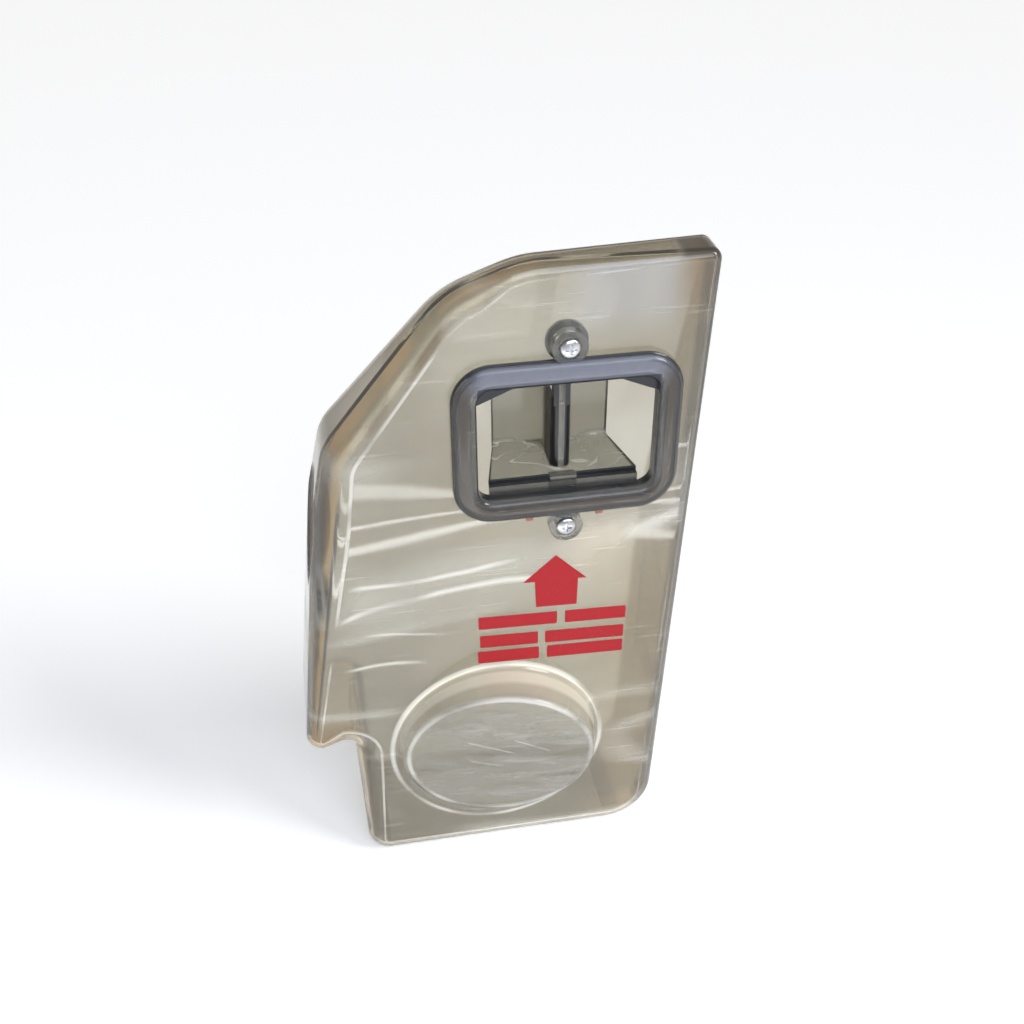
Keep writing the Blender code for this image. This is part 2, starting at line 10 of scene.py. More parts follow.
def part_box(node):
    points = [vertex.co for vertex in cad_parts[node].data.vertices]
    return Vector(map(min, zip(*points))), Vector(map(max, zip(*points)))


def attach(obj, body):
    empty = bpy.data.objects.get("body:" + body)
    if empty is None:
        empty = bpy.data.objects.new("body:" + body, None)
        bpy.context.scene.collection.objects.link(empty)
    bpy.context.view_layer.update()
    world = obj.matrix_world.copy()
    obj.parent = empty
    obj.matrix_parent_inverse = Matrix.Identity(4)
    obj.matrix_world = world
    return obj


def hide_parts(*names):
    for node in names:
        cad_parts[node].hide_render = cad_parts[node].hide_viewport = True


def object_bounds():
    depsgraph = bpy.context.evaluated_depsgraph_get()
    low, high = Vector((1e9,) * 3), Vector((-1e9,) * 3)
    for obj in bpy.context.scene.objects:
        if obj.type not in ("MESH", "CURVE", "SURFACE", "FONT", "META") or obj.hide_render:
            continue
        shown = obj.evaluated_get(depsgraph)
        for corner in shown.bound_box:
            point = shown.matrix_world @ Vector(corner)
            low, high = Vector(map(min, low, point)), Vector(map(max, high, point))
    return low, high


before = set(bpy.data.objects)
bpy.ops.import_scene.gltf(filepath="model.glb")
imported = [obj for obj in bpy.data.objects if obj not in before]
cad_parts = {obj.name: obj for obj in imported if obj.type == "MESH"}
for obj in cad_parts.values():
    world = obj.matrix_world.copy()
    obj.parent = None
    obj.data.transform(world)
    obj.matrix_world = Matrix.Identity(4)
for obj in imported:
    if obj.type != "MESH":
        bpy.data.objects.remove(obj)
CAD_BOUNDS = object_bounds()

# Fit, the same as in the solids
TOUCH_GAP = 0.0003
JOIN_STEP = 0.0003
CUT_MARGIN = 0.004
SAME_POINT = 1e-6

# Where the front wall's face and the middle of the spout lie in the frame
SEAL_LOW, SEAL_HIGH = [Vector(corner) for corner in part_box("spout_seal")]
SHIFT = Vector(((SEAL_LOW.x + SEAL_HIGH.x) / 2.0, SEAL_HIGH.y + TOUCH_GAP, 0.0))

# Tank outline, seen from the front
TANK_HEIGHT = 0.3668
OUTLINE = (
    # x, height, corner radius, front fillet
    (-0.1120, 0.0000, 0.0130, 0.0100),
    (0.0578, 0.0000, 0.0280, 0.0100),
    (0.0703, 0.3668, 0.0055, 0.0046),
    (-0.0200, 0.3668, 0.0500, 0.0080),
    (-0.0560, 0.3530, 0.0500, 0.0130),
    (-0.1150, 0.2783, 0.0340, 0.0160),
    (-0.1236, 0.2360, 0.0600, 0.0185),
    (-0.1412, 0.0895, 0.0088, 0.0080),
    (-0.1143, 0.0895, 0.0060, 0.0150),
)
BASE_DEPTH = 0.072
TOP_DEPTH = 0.022
SLOPE_START = 0.193
SLOPE_BLEND = 0.045
REAR_FILLET = 0.013
REAR_ROUNDING_SHARE = 0.85
FRONT_ZONE = 0.010
WALL = 0.0026

# Round boss low on the front wall
BOSS_X = -0.0354
BOSS_Z = 0.0815
BOSS_RADIUS = 0.0590
BOSS_FACE_RADIUS = 0.0520
BOSS_HEIGHT = 0.0115
BOSS_RISE_UP = 0.165
BOSS_RISE_RIGHT = 0.110
BOSS_EDGE_RADIUS = 0.003
BOSS_ROOT_RADIUS = 0.004
BOSS_FLARE = 0.003
BOSS_FLARE_HEIGHT = 0.0012
BOSS_SINK = 0.0012

# Finger recess in the left wall
RECESS_X = -0.1237
RECESS_Y = 0.030
RECESS_Z = 0.235
RECESS_DEPTH = 0.007
RECESS_CURVE = 0.030
RECESS_RIM_HALF_DEPTH = 0.019
RECESS_RIM_HALF_HEIGHT = 0.038

# Pour spout opening and frame
SPOUT_Z = 0.2789
OPENING_WIDTH = 0.086
OPENING_HEIGHT = 0.0612
OPENING_RADIUS = 0.0075
RIM_WIDTH = 0.012
RIM_HEIGHT = 0.0052
RIM_EDGE_HEIGHT = 0.0016
RIM_EDGE_CHAMFER = 0.0004
RIM_EDGE_STEP = 0.0007
RIM_FULLNESS = 0.8
COLLAR_WALL = 0.0018
COLLAR_DEPTH = 0.0023
PORT_CLEARANCE = 0.0004
HAUNCH_WIDTH = 0.020
HAUNCH_HEIGHT = 0.0092
OPENING_TOP = SPOUT_Z + OPENING_HEIGHT / 2.0
OPENING_LOW = SPOUT_Z - OPENING_HEIGHT / 2.0
OPENING_SIDE = OPENING_WIDTH / 2.0
RIM_LOW = OPENING_LOW - RIM_WIDTH

# Seal under the frame
SEAL_THICKNESS = 0.0015
SEAL_INSET = 0.0010
SEAL_WIDTH = 0.0080
SEAL_TAB_WIDTH = 0.0034
SEAL_TAB_LENGTH = 0.0032
SEAL_TAB_SPACING = 0.0350

# Screws and the ears that they hold
SCREW_BEYOND_RIM = 0.0062
SCREW_HEAD_RADIUS = 0.0047
SCREW_HEAD_HEIGHT = 0.0031
SCREW_HEAD_SIDE = 0.0014
SCREW_SHANK_RADIUS = 0.0020
SCREW_LENGTH = 0.0150
SCREW_TIP = 0.0020
SCREW_TIP_RADIUS = 0.0005
CROSS_WIDTH = 0.0013
CROSS_SPAN = 0.0050
CROSS_DEPTH = 0.0016
HOLE_CLEARANCE = 0.0003
EAR_RADIUS = 0.0084
EAR_THICKNESS = 0.0052
EAR_SEAT_DEPTH = 0.0018
EAR_SEAT_CLEARANCE = 0.0007

# Splash baffle behind the opening
BAFFLE_WALL = 0.0022
BAFFLE_FLOOR_RISE = 0.0065
BAFFLE_FLOOR_FRONT = 0.0048
BAFFLE_FRONT_WIDTH = 0.0736
BAFFLE_BACK_WIDTH = 0.0592
BAFFLE_REAR_GAP = 0.0006
BAFFLE_TOP_DROP = 0.0167
DIVIDER_WIDTH = 0.0100
DIVIDER_FRONT_Y = 0.0095
LEFT_SWEEP_RADIUS = 0.0145
RIGHT_SWEEP_RADIUS = 0.0070
POST_RADIUS = 0.00475
POST_LENGTH = 0.0125
PAD_RADIUS = 0.0100
PAD_THICKNESS = 0.0024
TONGUE_WIDTH = 0.0130
TONGUE_DEPTH = 0.0060
WEB_INSET = 0.0010
WEB_LAP = 0.0030
POST_FLOOR = 0.0022
BAFFLE_FLOOR_TOP = OPENING_LOW + BAFFLE_FLOOR_RISE
BAFFLE_FLOOR_LOW = BAFFLE_FLOOR_TOP - BAFFLE_WALL

# Red print on the front wall
PRINT_THICKNESS = 0.00008
PRINT_LIFT = 0.00004
ARROW = ((-0.0037, 0.2089), (-0.0207, 0.1932), (-0.0145, 0.1931), (-0.0138, 0.1763),
         (0.0078, 0.1755), (0.0082, 0.1925), (0.0127, 0.1923))
BARS = (
    # left x, left height of the middle, right x, right height of the middle
    (-0.0443, 0.1695, -0.0025, 0.1679),
    (0.0018, 0.1677, 0.0347, 0.1664),
    (-0.0437, 0.1568, -0.0126, 0.1555),
    (-0.0088, 0.1553, 0.0340, 0.1534),
    (-0.0450, 0.1461, -0.0120, 0.1449),
    (-0.0077, 0.1448, 0.0339, 0.1433),
)
BAR_HEIGHT = 0.0082
BAR_CORNER = 0.0008

# Facets
DEGREES_PER_FACET = 4.0
FRONT_FACETS = 12
REAR_FACETS = 9
SLOPE_CUTS = 14
BOSS_FACETS = 144
ROUND_FACETS = 48
PAD_FACETS = 72
RIM_FACETS = 22
DOME_FACETS = 10
RECESS_FACETS = (96, 64)
SHARP_ANGLE = math.radians(38.0)
EDGE_ROUNDING = 0.00025
EDGE_ROUNDING_STEPS = 2
EVEN_SHADING = 80
FLAT_FACING = 0.9995


# Shapes

def unit(x, z):
    length = math.hypot(x, z)
    return x / length, z / length


def rounded_path(corners, closed=True):
    """Walk round corners (x, z, radius, fillet) with the body on the left, each corner as an arc.

    Gives points (x, z, outward x, outward z, front fillet, rear fillet).
    """
    points = []
    count = len(corners)
    for index, (x, z, radius, fillet) in enumerate(corners):
        before = corners[index - 1]
        after = corners[(index + 1) % count]
        if not closed and index in (0, count - 1):
            first, second = ((x, z), after) if index == 0 else (before, (x, z))
            direction = unit(second[0] - first[0], second[1] - first[1])
            points.append((x, z, direction[1], -direction[0], fillet, fillet))
            continue
        way_in = unit(x - before[0], z - before[1])
        way_out = unit(after[0] - x, after[1] - z)
        turn = math.atan2(way_in[0] * way_out[1] - way_in[1] * way_out[0],
                          way_in[0] * way_out[0] + way_in[1] * way_out[1])
        side = 1.0 if turn > 0.0 else -1.0
        reach = radius * math.tan(abs(turn) / 2.0)
        start_angle = math.atan2(-way_in[0], way_in[1])
        centre_x = x - way_in[0] * reach - side * radius * way_in[1]
        centre_z = z - way_in[1] * reach + side * radius * way_in[0]
        facets = max(3, math.ceil(abs(math.degrees(turn)) / DEGREES_PER_FACET))
        rear = min(REAR_FILLET, radius * REAR_ROUNDING_SHARE) if turn > 0.0 else REAR_FILLET
        for step in range(facets + 1):
            angle = start_angle + turn * step / facets
            out_x = math.cos(angle)
            out_z = math.sin(angle)
            points.append((centre_x + side * radius * out_x, centre_z + side * radius * out_z,
                           out_x, out_z, fillet, rear))
    return points


def tank_depth_at(z):
    """The rear wall is upright low down, then leans forward to the narrow top."""
    slope = (BASE_DEPTH - TOP_DEPTH) / (TANK_HEIGHT - SLOPE_START)
    above = z - SLOPE_START
    if above <= -SLOPE_BLEND:
        return BASE_DEPTH
    if above < SLOPE_BLEND:
        return BASE_DEPTH - slope * (above + SLOPE_BLEND) ** 2 / (4.0 * SLOPE_BLEND)
    return BASE_DEPTH - slope * above


def skin_rings(rings, loop_ends=False):
    """Join rings of points into one closed mesh."""
    mesh_data = bmesh.new()
    made = [[mesh_data.verts.new(point) for point in ring] for ring in rings]
    count = len(made[0])
    bands = list(zip(made, made[1:]))
    if loop_ends:
        bands.append((made[-1], made[0]))
    for first, second in bands:
        for index in range(count):
            after = (index + 1) % count
            mesh_data.faces.new((first[index], first[after], second[after], second[index]))
    if not loop_ends:
        mesh_data.faces.new(list(reversed(made[0])))
        mesh_data.faces.new(made[-1])
    bmesh.ops.recalc_face_normals(mesh_data, faces=mesh_data.faces)
    return mesh_data


def tank_form(shrink):
    """The tank's full form, or its hollow, which lies one wall inside that form."""
    outline = rounded_path(OUTLINE)
    full_depth = BASE_DEPTH - shrink
    rear_radius = REAR_FILLET - shrink
    rings = []
    for step in range(FRONT_FACETS + 1):
        angle = math.pi / 2.0 * step / FRONT_FACETS
        ring = []
        for x, z, out_x, out_z, fillet, _ in outline:
            radius = fillet - shrink
            inset = shrink + radius * (1.0 - math.sin(angle))
            depth = shrink + radius * (1.0 - math.cos(angle))
            ring.append(Vector((x - out_x * inset, depth, z - out_z * inset)))
        rings.append(ring)
    for step in range(REAR_FACETS + 1):
        angle = math.pi / 2.0 * step / REAR_FACETS
        ring = []
        for x, z, out_x, out_z, _, rear in outline:
            radius = rear - shrink
            inset = shrink + radius * (1.0 - math.cos(angle))
            depth = full_depth - radius * (1.0 - math.sin(angle))
            ring.append(Vector((x - out_x * inset, depth, z - out_z * inset)))
        rings.append(ring)
    mesh_data = skin_rings(rings)
    for step in range(SLOPE_CUTS + 1):
        level = SLOPE_START - SLOPE_BLEND + 2.0 * SLOPE_BLEND * step / SLOPE_CUTS
        everything = mesh_data.verts[:] + mesh_data.edges[:] + mesh_data.faces[:]
        bmesh.ops.bisect_plane(mesh_data, geom=everything, dist=SAME_POINT,
                               plane_co=(0.0, 0.0, level), plane_no=(0.0, 0.0, 1.0))
    for vertex in mesh_data.verts:
        depth = tank_depth_at(vertex.co.z) - shrink
        squeeze = min(1.0, REAR_ROUNDING_SHARE * (depth - FRONT_ZONE) / rear_radius)
        rear_start = full_depth - rear_radius
        if vertex.co.y >= rear_start:
            vertex.co.y = depth - (full_depth - vertex.co.y) * squeeze
        elif vertex.co.y > FRONT_ZONE:
            share = (vertex.co.y - FRONT_ZONE) / (rear_start - FRONT_ZONE)
            vertex.co.y = FRONT_ZONE + share * (depth - rear_radius * squeeze - FRONT_ZONE)
    return mesh_data


def boss_form(shrink):
    """The round boss: a low cone whose slanting face stands proudest at its upper right."""
    profile = rounded_path([(0.0, -BOSS_HEIGHT, 0.0, 0.0),
                            (BOSS_FACE_RADIUS, -BOSS_HEIGHT, BOSS_EDGE_RADIUS, 0.0),
                            (BOSS_RADIUS - BOSS_FLARE, -BOSS_FLARE_HEIGHT, BOSS_ROOT_RADIUS, 0.0),
                            (BOSS_RADIUS + BOSS_FLARE, BOSS_SINK, 0.0, 0.0)], closed=False)
    rings = []
    for radius, y, out_r, out_y, _, _ in profile[1:]:
        ring_radius = radius - out_r * shrink
        ring_y = y - out_y * shrink
        ring = []
        for step in range(BOSS_FACETS):
            angle = 2.0 * math.pi * step / BOSS_FACETS
            lean = BOSS_RISE_RIGHT * math.cos(angle) + BOSS_RISE_UP * math.sin(angle)
            height = ring_y
            if ring_y < shrink:
                height = shrink + (ring_y - shrink) * (1.0 + lean * BOSS_FACE_RADIUS / BOSS_HEIGHT)
            ring.append(Vector((BOSS_X + ring_radius * math.cos(angle), height,
                                BOSS_Z + ring_radius * math.sin(angle))))
        rings.append(ring)
    return skin_rings(rings)


def recess_form(grow):
    """The ball-shaped scoop that the fingers reach into."""
    rim_share = math.sqrt(1.0 - (1.0 - RECESS_DEPTH / RECESS_CURVE) ** 2)
    half = Vector((RECESS_CURVE + grow, RECESS_RIM_HALF_DEPTH / rim_share + grow,
                   RECESS_RIM_HALF_HEIGHT / rim_share + grow))
    centre = Vector((RECESS_X + RECESS_DEPTH - RECESS_CURVE, RECESS_Y, RECESS_Z))
    mesh_data = bmesh.new()
    bmesh.ops.create_uvsphere(mesh_data, u_segments=RECESS_FACETS[0], v_segments=RECESS_FACETS[1],
                              radius=1.0, matrix=Matrix.Translation(centre) @ Matrix.Diagonal((*half, 1.0)))
    return mesh_data


def bar_along_y(radius, front, back, z, facets=ROUND_FACETS):
    mesh_data = bmesh.new()
    middle = Vector((0.0, (front + back) / 2.0, z))
    bmesh.ops.create_cone(mesh_data, cap_ends=True, segments=facets, radius1=radius, radius2=radius,
                          depth=back - front,
                          matrix=Matrix.Translation(middle) @ Matrix.Rotation(math.pi / 2.0, 4, "X"))
    return mesh_data


def block(x_range, y_range, z_range):
    mesh_data = bmesh.new()
    size = Vector((x_range[1] - x_range[0], y_range[1] - y_range[0], z_range[1] - z_range[0]))
    middle = Vector((sum(x_range) / 2.0, sum(y_range) / 2.0, sum(z_range) / 2.0))
    bmesh.ops.create_cube(mesh_data, size=1.0,
                          matrix=Matrix.Translation(middle) @ Matrix.Diagonal((*size, 1.0)))
    return mesh_data


def plate(points, vector):
    """Extrude a flat outline along a vector."""
    mesh_data = bmesh.new()
    face = mesh_data.faces.new([mesh_data.verts.new(point) for point in points])
    grown = bmesh.ops.extrude_face_region(mesh_data, geom=[face])
    bmesh.ops.translate(mesh_data, vec=vector,
                        verts=[item for item in grown["geom"] if isinstance(item, bmesh.types.BMVert)])
    bmesh.ops.recalc_face_normals(mesh_data, faces=mesh_data.faces)
    return mesh_data


def spout_rectangle(grow):
    half_width = OPENING_SIDE + grow
    half_height = OPENING_HEIGHT / 2.0 + grow
    radius = OPENING_RADIUS + grow
    return rounded_path([(-half_width, SPOUT_Z - half_height, radius, 0.0),
                         (half_width, SPOUT_Z - half_height, radius, 0.0),
                         (half_width, SPOUT_Z + half_height, radius, 0.0),
                         (-half_width, SPOUT_Z + half_height, radius, 0.0)])


def swept_frame(outline, profile):
    rings = []
    for inset, y in profile:
        rings.append([Vector((x - out_x * inset, y, z - out_z * inset))
                      for x, z, out_x, out_z, _, _ in outline])
    return skin_rings(rings, loop_ends=True)


def draft(name, mesh_data):
    mesh = bpy.data.meshes.new(name)
    mesh_data.to_mesh(mesh)
    mesh_data.free()
    made = bpy.data.objects.new(name, mesh)
    bpy.context.scene.collection.objects.link(made)
    return made


def carve(target, mesh_data, operation="DIFFERENCE"):
    """Join a form to a draft or cut it away, for good."""
    tool = draft("tool", mesh_data)
    modifier = target.modifiers.new("carve", "BOOLEAN")
    modifier.operation = operation
    modifier.solver = "EXACT"
    modifier.object = tool
    state = bpy.context.evaluated_depsgraph_get()
    carved = bpy.data.meshes.new_from_object(target.evaluated_get(state))
    target.modifiers.clear()
    target.data = carved
    bpy.data.objects.remove(tool)


def to_mesh_data(target):
    mesh_data = bmesh.new()
    mesh_data.from_mesh(target.data)
    bpy.data.objects.remove(target)
    return mesh_data


def finished(made, material, replaced=(), rounding=0.0):
    """Move a draft to its place in the frame, shade it, dress it and let it ride.

    A finer curve can stand a hair outside the solids' box, so its points are held to that box.
    """
    made.data.transform(Matrix.Translation(SHIFT))
    for vertex in made.data.vertices:
        for axis in range(3):
            vertex.co[axis] = min(max(vertex.co[axis], CAD_BOUNDS[0][axis]), CAD_BOUNDS[1][axis])
    made.data.materials.clear()
    made.data.materials.append(material)
    made.data.shade_smooth()
    made.data.set_sharp_from_angle(angle=SHARP_ANGLE)
    if rounding:
        bevel = made.modifiers.new("edge_rounding", "BEVEL")
        bevel.width = rounding
        bevel.segments = EDGE_ROUNDING_STEPS
        bevel.limit_method = "ANGLE"
        bevel.angle_limit = SHARP_ANGLE
        bevel.use_clamp_overlap = True
        bevel.harden_normals = False
    weighted = made.modifiers.new("even_shading", "WEIGHTED_NORMAL")
    weighted.keep_sharp = True
    weighted.weight = EVEN_SHADING
    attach(made, "root")
    if replaced:
        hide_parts(*replaced)


# Finishes

class Field:
    """One socket's value, with arithmetic."""

    def __init__(self, finish, socket):
        self.finish = finish
        self.socket = socket

    def math(self, operation, first, second):
        return self.finish.node("ShaderNodeMath", {"operation": operation}, {0: first, 1: second})

    def __add__(self, other):
        return self.math("ADD", self, other)

    def __radd__(self, other):
        return self.math("ADD", other, self)

    def __sub__(self, other):
        return self.math("SUBTRACT", self, other)

    def __rsub__(self, other):
        return self.math("SUBTRACT", other, self)

    def __mul__(self, other):
        return self.math("MULTIPLY", self, other)

    def __pow__(self, other):
        return self.math("POWER", self, other)

    def __abs__(self):
        return self.math("ABSOLUTE", self, 0.0)

    def at_least(self, value):
        return self.math("MAXIMUM", self, value)

    def rising(self, low, high):
        """0 below low and 1 above high, smooth between; falling when low is above high."""
        values = {"Value": self, "From Min": min(low, high), "From Max": max(low, high),
                  "To Min": 0.0 if low < high else 1.0, "To Max": 1.0 if low < high else 0.0}
        return self.finish.node("ShaderNodeMapRange", {"interpolation_type": "SMOOTHSTEP"}, values)

    def between(self, low, high):
        """Turn 0 into low and 1 into high."""
        return self * (high - low) + low

    def ridge(self):
        """1 where a grain crosses its middle value, which gives thin winding lines."""
        return 1.0 - abs(self * 2.0 - 1.0)


class Finish:
    """A material, or the sky, and the nodes that make it."""

    def __init__(self, name, sky=False):
        self.material = bpy.data.worlds.new(name) if sky else bpy.data.materials.new(name)
        self.material.use_nodes = True
        self.tree = self.material.node_tree
        self.tree.nodes.clear()
        self.output = self.tree.nodes.new("ShaderNodeOutputWorld" if sky else "ShaderNodeOutputMaterial")
        self.fields = {}

    def node(self, kind, settings, values, output=0):
        made = self.tree.nodes.new(kind)
        for name, value in settings.items():
            setattr(made, name, value)
        for name, value in values.items():
            if isinstance(value, Field):
                self.tree.links.new(value.socket, made.inputs[name])
            else:
                made.inputs[name].default_value = value
        return Field(self, made.outputs[output])

    def axes(self, coordinates="Object"):
        place = self.node("ShaderNodeTexCoord", {}, {}, coordinates)
        return [self.node("ShaderNodeSeparateXYZ", {}, {0: place}, axis) for axis in range(3)]

    def mark(self, name):
        """A value that the piece's mesh carries."""
        return self.node("ShaderNodeAttribute", {"attribute_name": name}, {}, "Fac")

    def seen_by(self, *rays):
        """1 for the kinds of ray named and 0 for all others."""
        seen = self.node("ShaderNodeLightPath", {}, {}, rays[0])
        for ray in rays[1:]:
            seen = seen.at_least(self.node("ShaderNodeLightPath", {}, {}, ray))
        return seen

    def grain(self, scale, detail=2.0, roughness=0.5, distortion=0.0, stretch=(1.0, 1.0, 1.0),
              turn=(0.0, 0.0, 0.0)):
        """Noise from 0 to 1, with its pattern turned and stretched."""
        mapped = self.node("ShaderNodeMapping", {"vector_type": "POINT"},
                           {"Vector": self.node("ShaderNodeTexCoord", {}, {}, "Object"),
                            "Rotation": [math.radians(angle) for angle in turn], "Scale": stretch})
        return self.node("ShaderNodeTexNoise", {},
                         {"Vector": mapped, "Scale": scale, "Detail": detail,
                          "Roughness": roughness, "Distortion": distortion}, "Fac")

    def zone(self, **ranges):
        """1 where every field named lies in its range of two or four values, faded at the ends."""
        inside = None
        for name, limits in ranges.items():
            field = self.fields[name]
            part = field.rising(limits[0], limits[1])
            if len(limits) == 4:
                part = part * field.rising(limits[3], limits[2])
            inside = part if inside is None else inside * part
        return inside

    def zones(self, rows):
        return {name: self.zone(**ranges) for name, ranges in rows.items()}

    def make_uneven(self, marks, rows):
        """Weaken marks where a field lies low or high in its range."""
        for name, (field, limits, before, after) in rows.items():
            marks[name] = marks[name] * self.fields[field].rising(*limits).between(before, after)

    def blend(self, share, first, second):
        """Mix two colours by a share."""
        return self.node("ShaderNodeMix", {"data_type": "RGBA", "clamp_factor": True},
                         {0: share, 6: self.colour(first), 7: self.colour(second)}, 2)

    def layered(self, colour, marks, layers):
        """Lay the colour of each mark over the ones before it."""
        for name, share, layer in layers:
            colour = self.blend(marks[name] * share, colour, layer)
        return colour

    @staticmethod
    def colour(value):
        return value if isinstance(value, Field) else (*value, 1.0)

    def bump(self, height):
        """Height in metres."""
        return self.node("ShaderNodeBump", {}, {"Strength": 1.0, "Distance": 1.0, "Height": height})

    def surface(self, **values):
        settings = {name.replace("_", " ").title().replace("Ior", "IOR"): value
                    for name, value in values.items()}
        settings["Base Color"] = self.colour(settings["Base Color"])
        return self.node("ShaderNodeBsdfPrincipled", {}, settings)

    def hazy(self, haze_share, clear, haze):
        """Clear plastic with a share of cloudy plastic mixed in."""
        return self.done(self.node("ShaderNodeMixShader", {}, {0: haze_share, 1: clear, 2: haze}))

    def done(self, shader):
        self.tree.links.new(shader.socket, self.output.inputs["Surface"])
        return self.material


# Where the clear tank's marks lie
#
# A range of two values fades a mark in from the first to the second. A range of four also fades it out
# from the third to the fourth. across is counted from the middle of the spout, inward from the front
# wall, from_face from the rim of the boss's face and from_foot from its foot. facing is 1 on the front
# wall and 0 on the side walls.

OUTSIDE = (0.0022, 0.0004)
FRONT = (0.024, 0.014)
SIDE = (0.992, 0.70)
ON_FACE = (0.0005, -0.002)
BOSS_SURROUND = {"from_foot": (0.008, 0.002), "inward": FRONT}
LEFT_EDGE = {"across": (-0.094, -0.108), "z": (0.096, 0.110, 0.280, 0.300), "inward": FRONT}
UPPER_SLOPE = {"z": (0.262, 0.285), "across": (0.000, -0.025), "inward": FRONT}
TANK_MARKS = {
    "flow_line": {"flow_ridge": (0.90, 1.0), "cloud": (0.44, 0.64)},
    # a painted highlight along the edge of the flat front wall
    "crease_highlight": {"facing": (0.9895, 0.9940, 0.9975, 0.9995), "inward": FRONT, "ripple": (0.34, 0.62)},
    "scratches": {"scratch_grain": (0.66, 0.74), "inward": OUTSIDE},
    "base_glint": {"ripple": (0.52, 0.72), "z": (0.050, 0.015), "across": (-0.055, -0.075),
                   "inward": OUTSIDE},
    # a painted warm reflection on the front wall beside the arrow
    "warm_reflection": {"across": (-0.016, 0.014, 0.024, 0.042), "z": (0.160, 0.200, 0.216, 0.240),
                   "inward": OUTSIDE},
    # a painted bluish reflection of a window, high on the front wall
    "sky_reflection": {"z": (0.318, 0.346), "across": (-0.012, 0.014, 0.044, 0.058), "inward": OUTSIDE},
    "dull_left": {"across": (-0.030, -0.085), "z": (0.100, 0.150), "inward": OUTSIDE},
    "right_band": {"across": (0.036, 0.052), "inward": OUTSIDE},
    "right_edge": {"facing": (0.95, 0.82), "across": (0.048, 0.054), "inward": FRONT},
    "warm_right": {"across": (0.004, 0.036), "z": (0.225, 0.190), "inward": FRONT},
    "amber_corner": {"across": (0.050, 0.072), "z": (0.30, 0.36)},
    "side_wall": {"facing": SIDE},
    "left_side": {"across": (-0.090, -0.116), "facing": SIDE},
    "notch_walls": {"across": (-0.108, -0.113), "z": (0.104, 0.094), "facing": SIDE},
    "notch_warmth": {"across": (-0.106, -0.118), "z": (0.118, 0.100), "inward": FRONT},
    "on_face": {"from_face": ON_FACE, "inward": OUTSIDE},
    "worn": {"from_face": ON_FACE, "inward": OUTSIDE, "scuffs": (0.32, 0.70)},
    # painted highlights along the rims of the boss's face and foot
    "face_rim_highlight": {"from_face": (-0.0038, -0.0018, -0.0014, 0.0006), "inward": OUTSIDE},
    "foot_rim_highlight": {"from_foot": (-0.0022, -0.0002, 0.0002, 0.0022), "inward": OUTSIDE},
    # painted highlights on the upper side of the boss's sloping wall
    "boss_inner_highlight": {"from_face": (0.0018, 0.0026, 0.0034, 0.0042), "above_boss": (-0.010, 0.030),
                   "inward": OUTSIDE},
    "boss_outer_highlight": {"from_face": (0.0052, 0.0057, 0.0062, 0.0067), "above_boss": (-0.010, 0.030),
                   "inward": OUTSIDE},
    "boss_wall_highlight": {"from_face": (-0.001, 0.001), "from_foot": (0.001, -0.002),
                  "above_boss": (0.000, 0.036), "inward": OUTSIDE},
    # painted shade: lines of shade along the front-left fold and the finger recess's rim, with a painted
    # amber glow beside them
    "fold": {"facing": (0.30, 0.50, 0.60, 0.74), "z": (0.245, 0.215)},
    "fold_line": {"facing": (0.880, 0.905, 0.925, 0.945), "z": (0.262, 0.240)},
    "grip_lip": {"from_lip": (0.17, 0.04), "z": (0.185, 0.200)},
    "glow": {"facing": (0.68, 0.78, 0.90, 0.93)},
    "ridge_glow": {"facing": (0.78, 0.86, 0.90, 0.955), "swept": (0.38, 0.62)},
    "tan_band": {"facing": (0.12, 0.35, 0.60, 0.80), "swept": (0.36, 0.60)},
    "brown_band": {"facing": (0.86, 0.92, 0.975, 0.996), "swept": (0.62, 0.36)},
    # a painted line of shade on the left wall
    "left_shade_line": {"from_left_shade": (0.0034, 0.0008), "z": (0.172, 0.186, 0.200, 0.218),
              "across": (-0.112, -0.118), "facing": (0.93, 0.88)},
}
OFF_THE_BOSS = ("crease_highlight", "side_wall", "left_side", "notch_walls")
ON_LEFT_EDGE = ("fold", "fold_line", "grip_lip", "glow")
ON_UPPER_SLOPE = ("ridge_glow", "tan_band", "brown_band")
TANK_UNEVEN = {
    # field, its range, strength before the range, strength after it
    "reflection_streaks": ("ripple", (0.30, 0.58), 0.25, 1.0),
    "crease_highlight": ("across", (0.040, 0.050), 1.0, 0.4),
    "face_rim_highlight": ("ripple", (0.32, 0.62), 0.12, 0.67),
    "foot_rim_highlight": ("ripple", (0.32, 0.62), 0.12, 0.67),
    "warm_reflection": ("cloud", (0.30, 0.70), 0.6, 1.0),
    "left_shade_line": ("scuffs", (0.25, 0.70), 0.7, 1.0),
}
# Painted reflections of long lights, as bright arcs across the front wall
STREAKS = (
    # middle of the arc, bend, slope, height at the middle, half width, left end, right end, strength
    (-0.095, 1.35, 0.00, 0.1993, 0.0024, -0.106, -0.030, 1.0),
    (-0.005, -1.30, 0.00, 0.1950, 0.0028, -0.114, -0.010, 1.0),
    (-0.005, 0.00, -0.05, 0.1620, 0.0016, -0.100, -0.066, 0.7),
    (-0.005, 0.00, 0.04, 0.1490, 0.0020, -0.112, -0.078, 1.0),
)
STREAK_SWAY = 0.020
STREAK_RIPPLE = 0.004
STREAK_START = 0.006
STREAK_TAIL = 0.012
FACE_SCRATCHES = (
    # slope, height, left end, right end, all from the middle of the boss
    (-0.456, 0.0058, -0.022, 0.011),
    (-0.570, 0.0186, 0.005, 0.031),
    (-0.300, -0.0090, -0.020, 0.004),
)
SCRATCH_THICKNESS = (0.0006, 0.0001)
SCRATCH_TAPER = 0.006
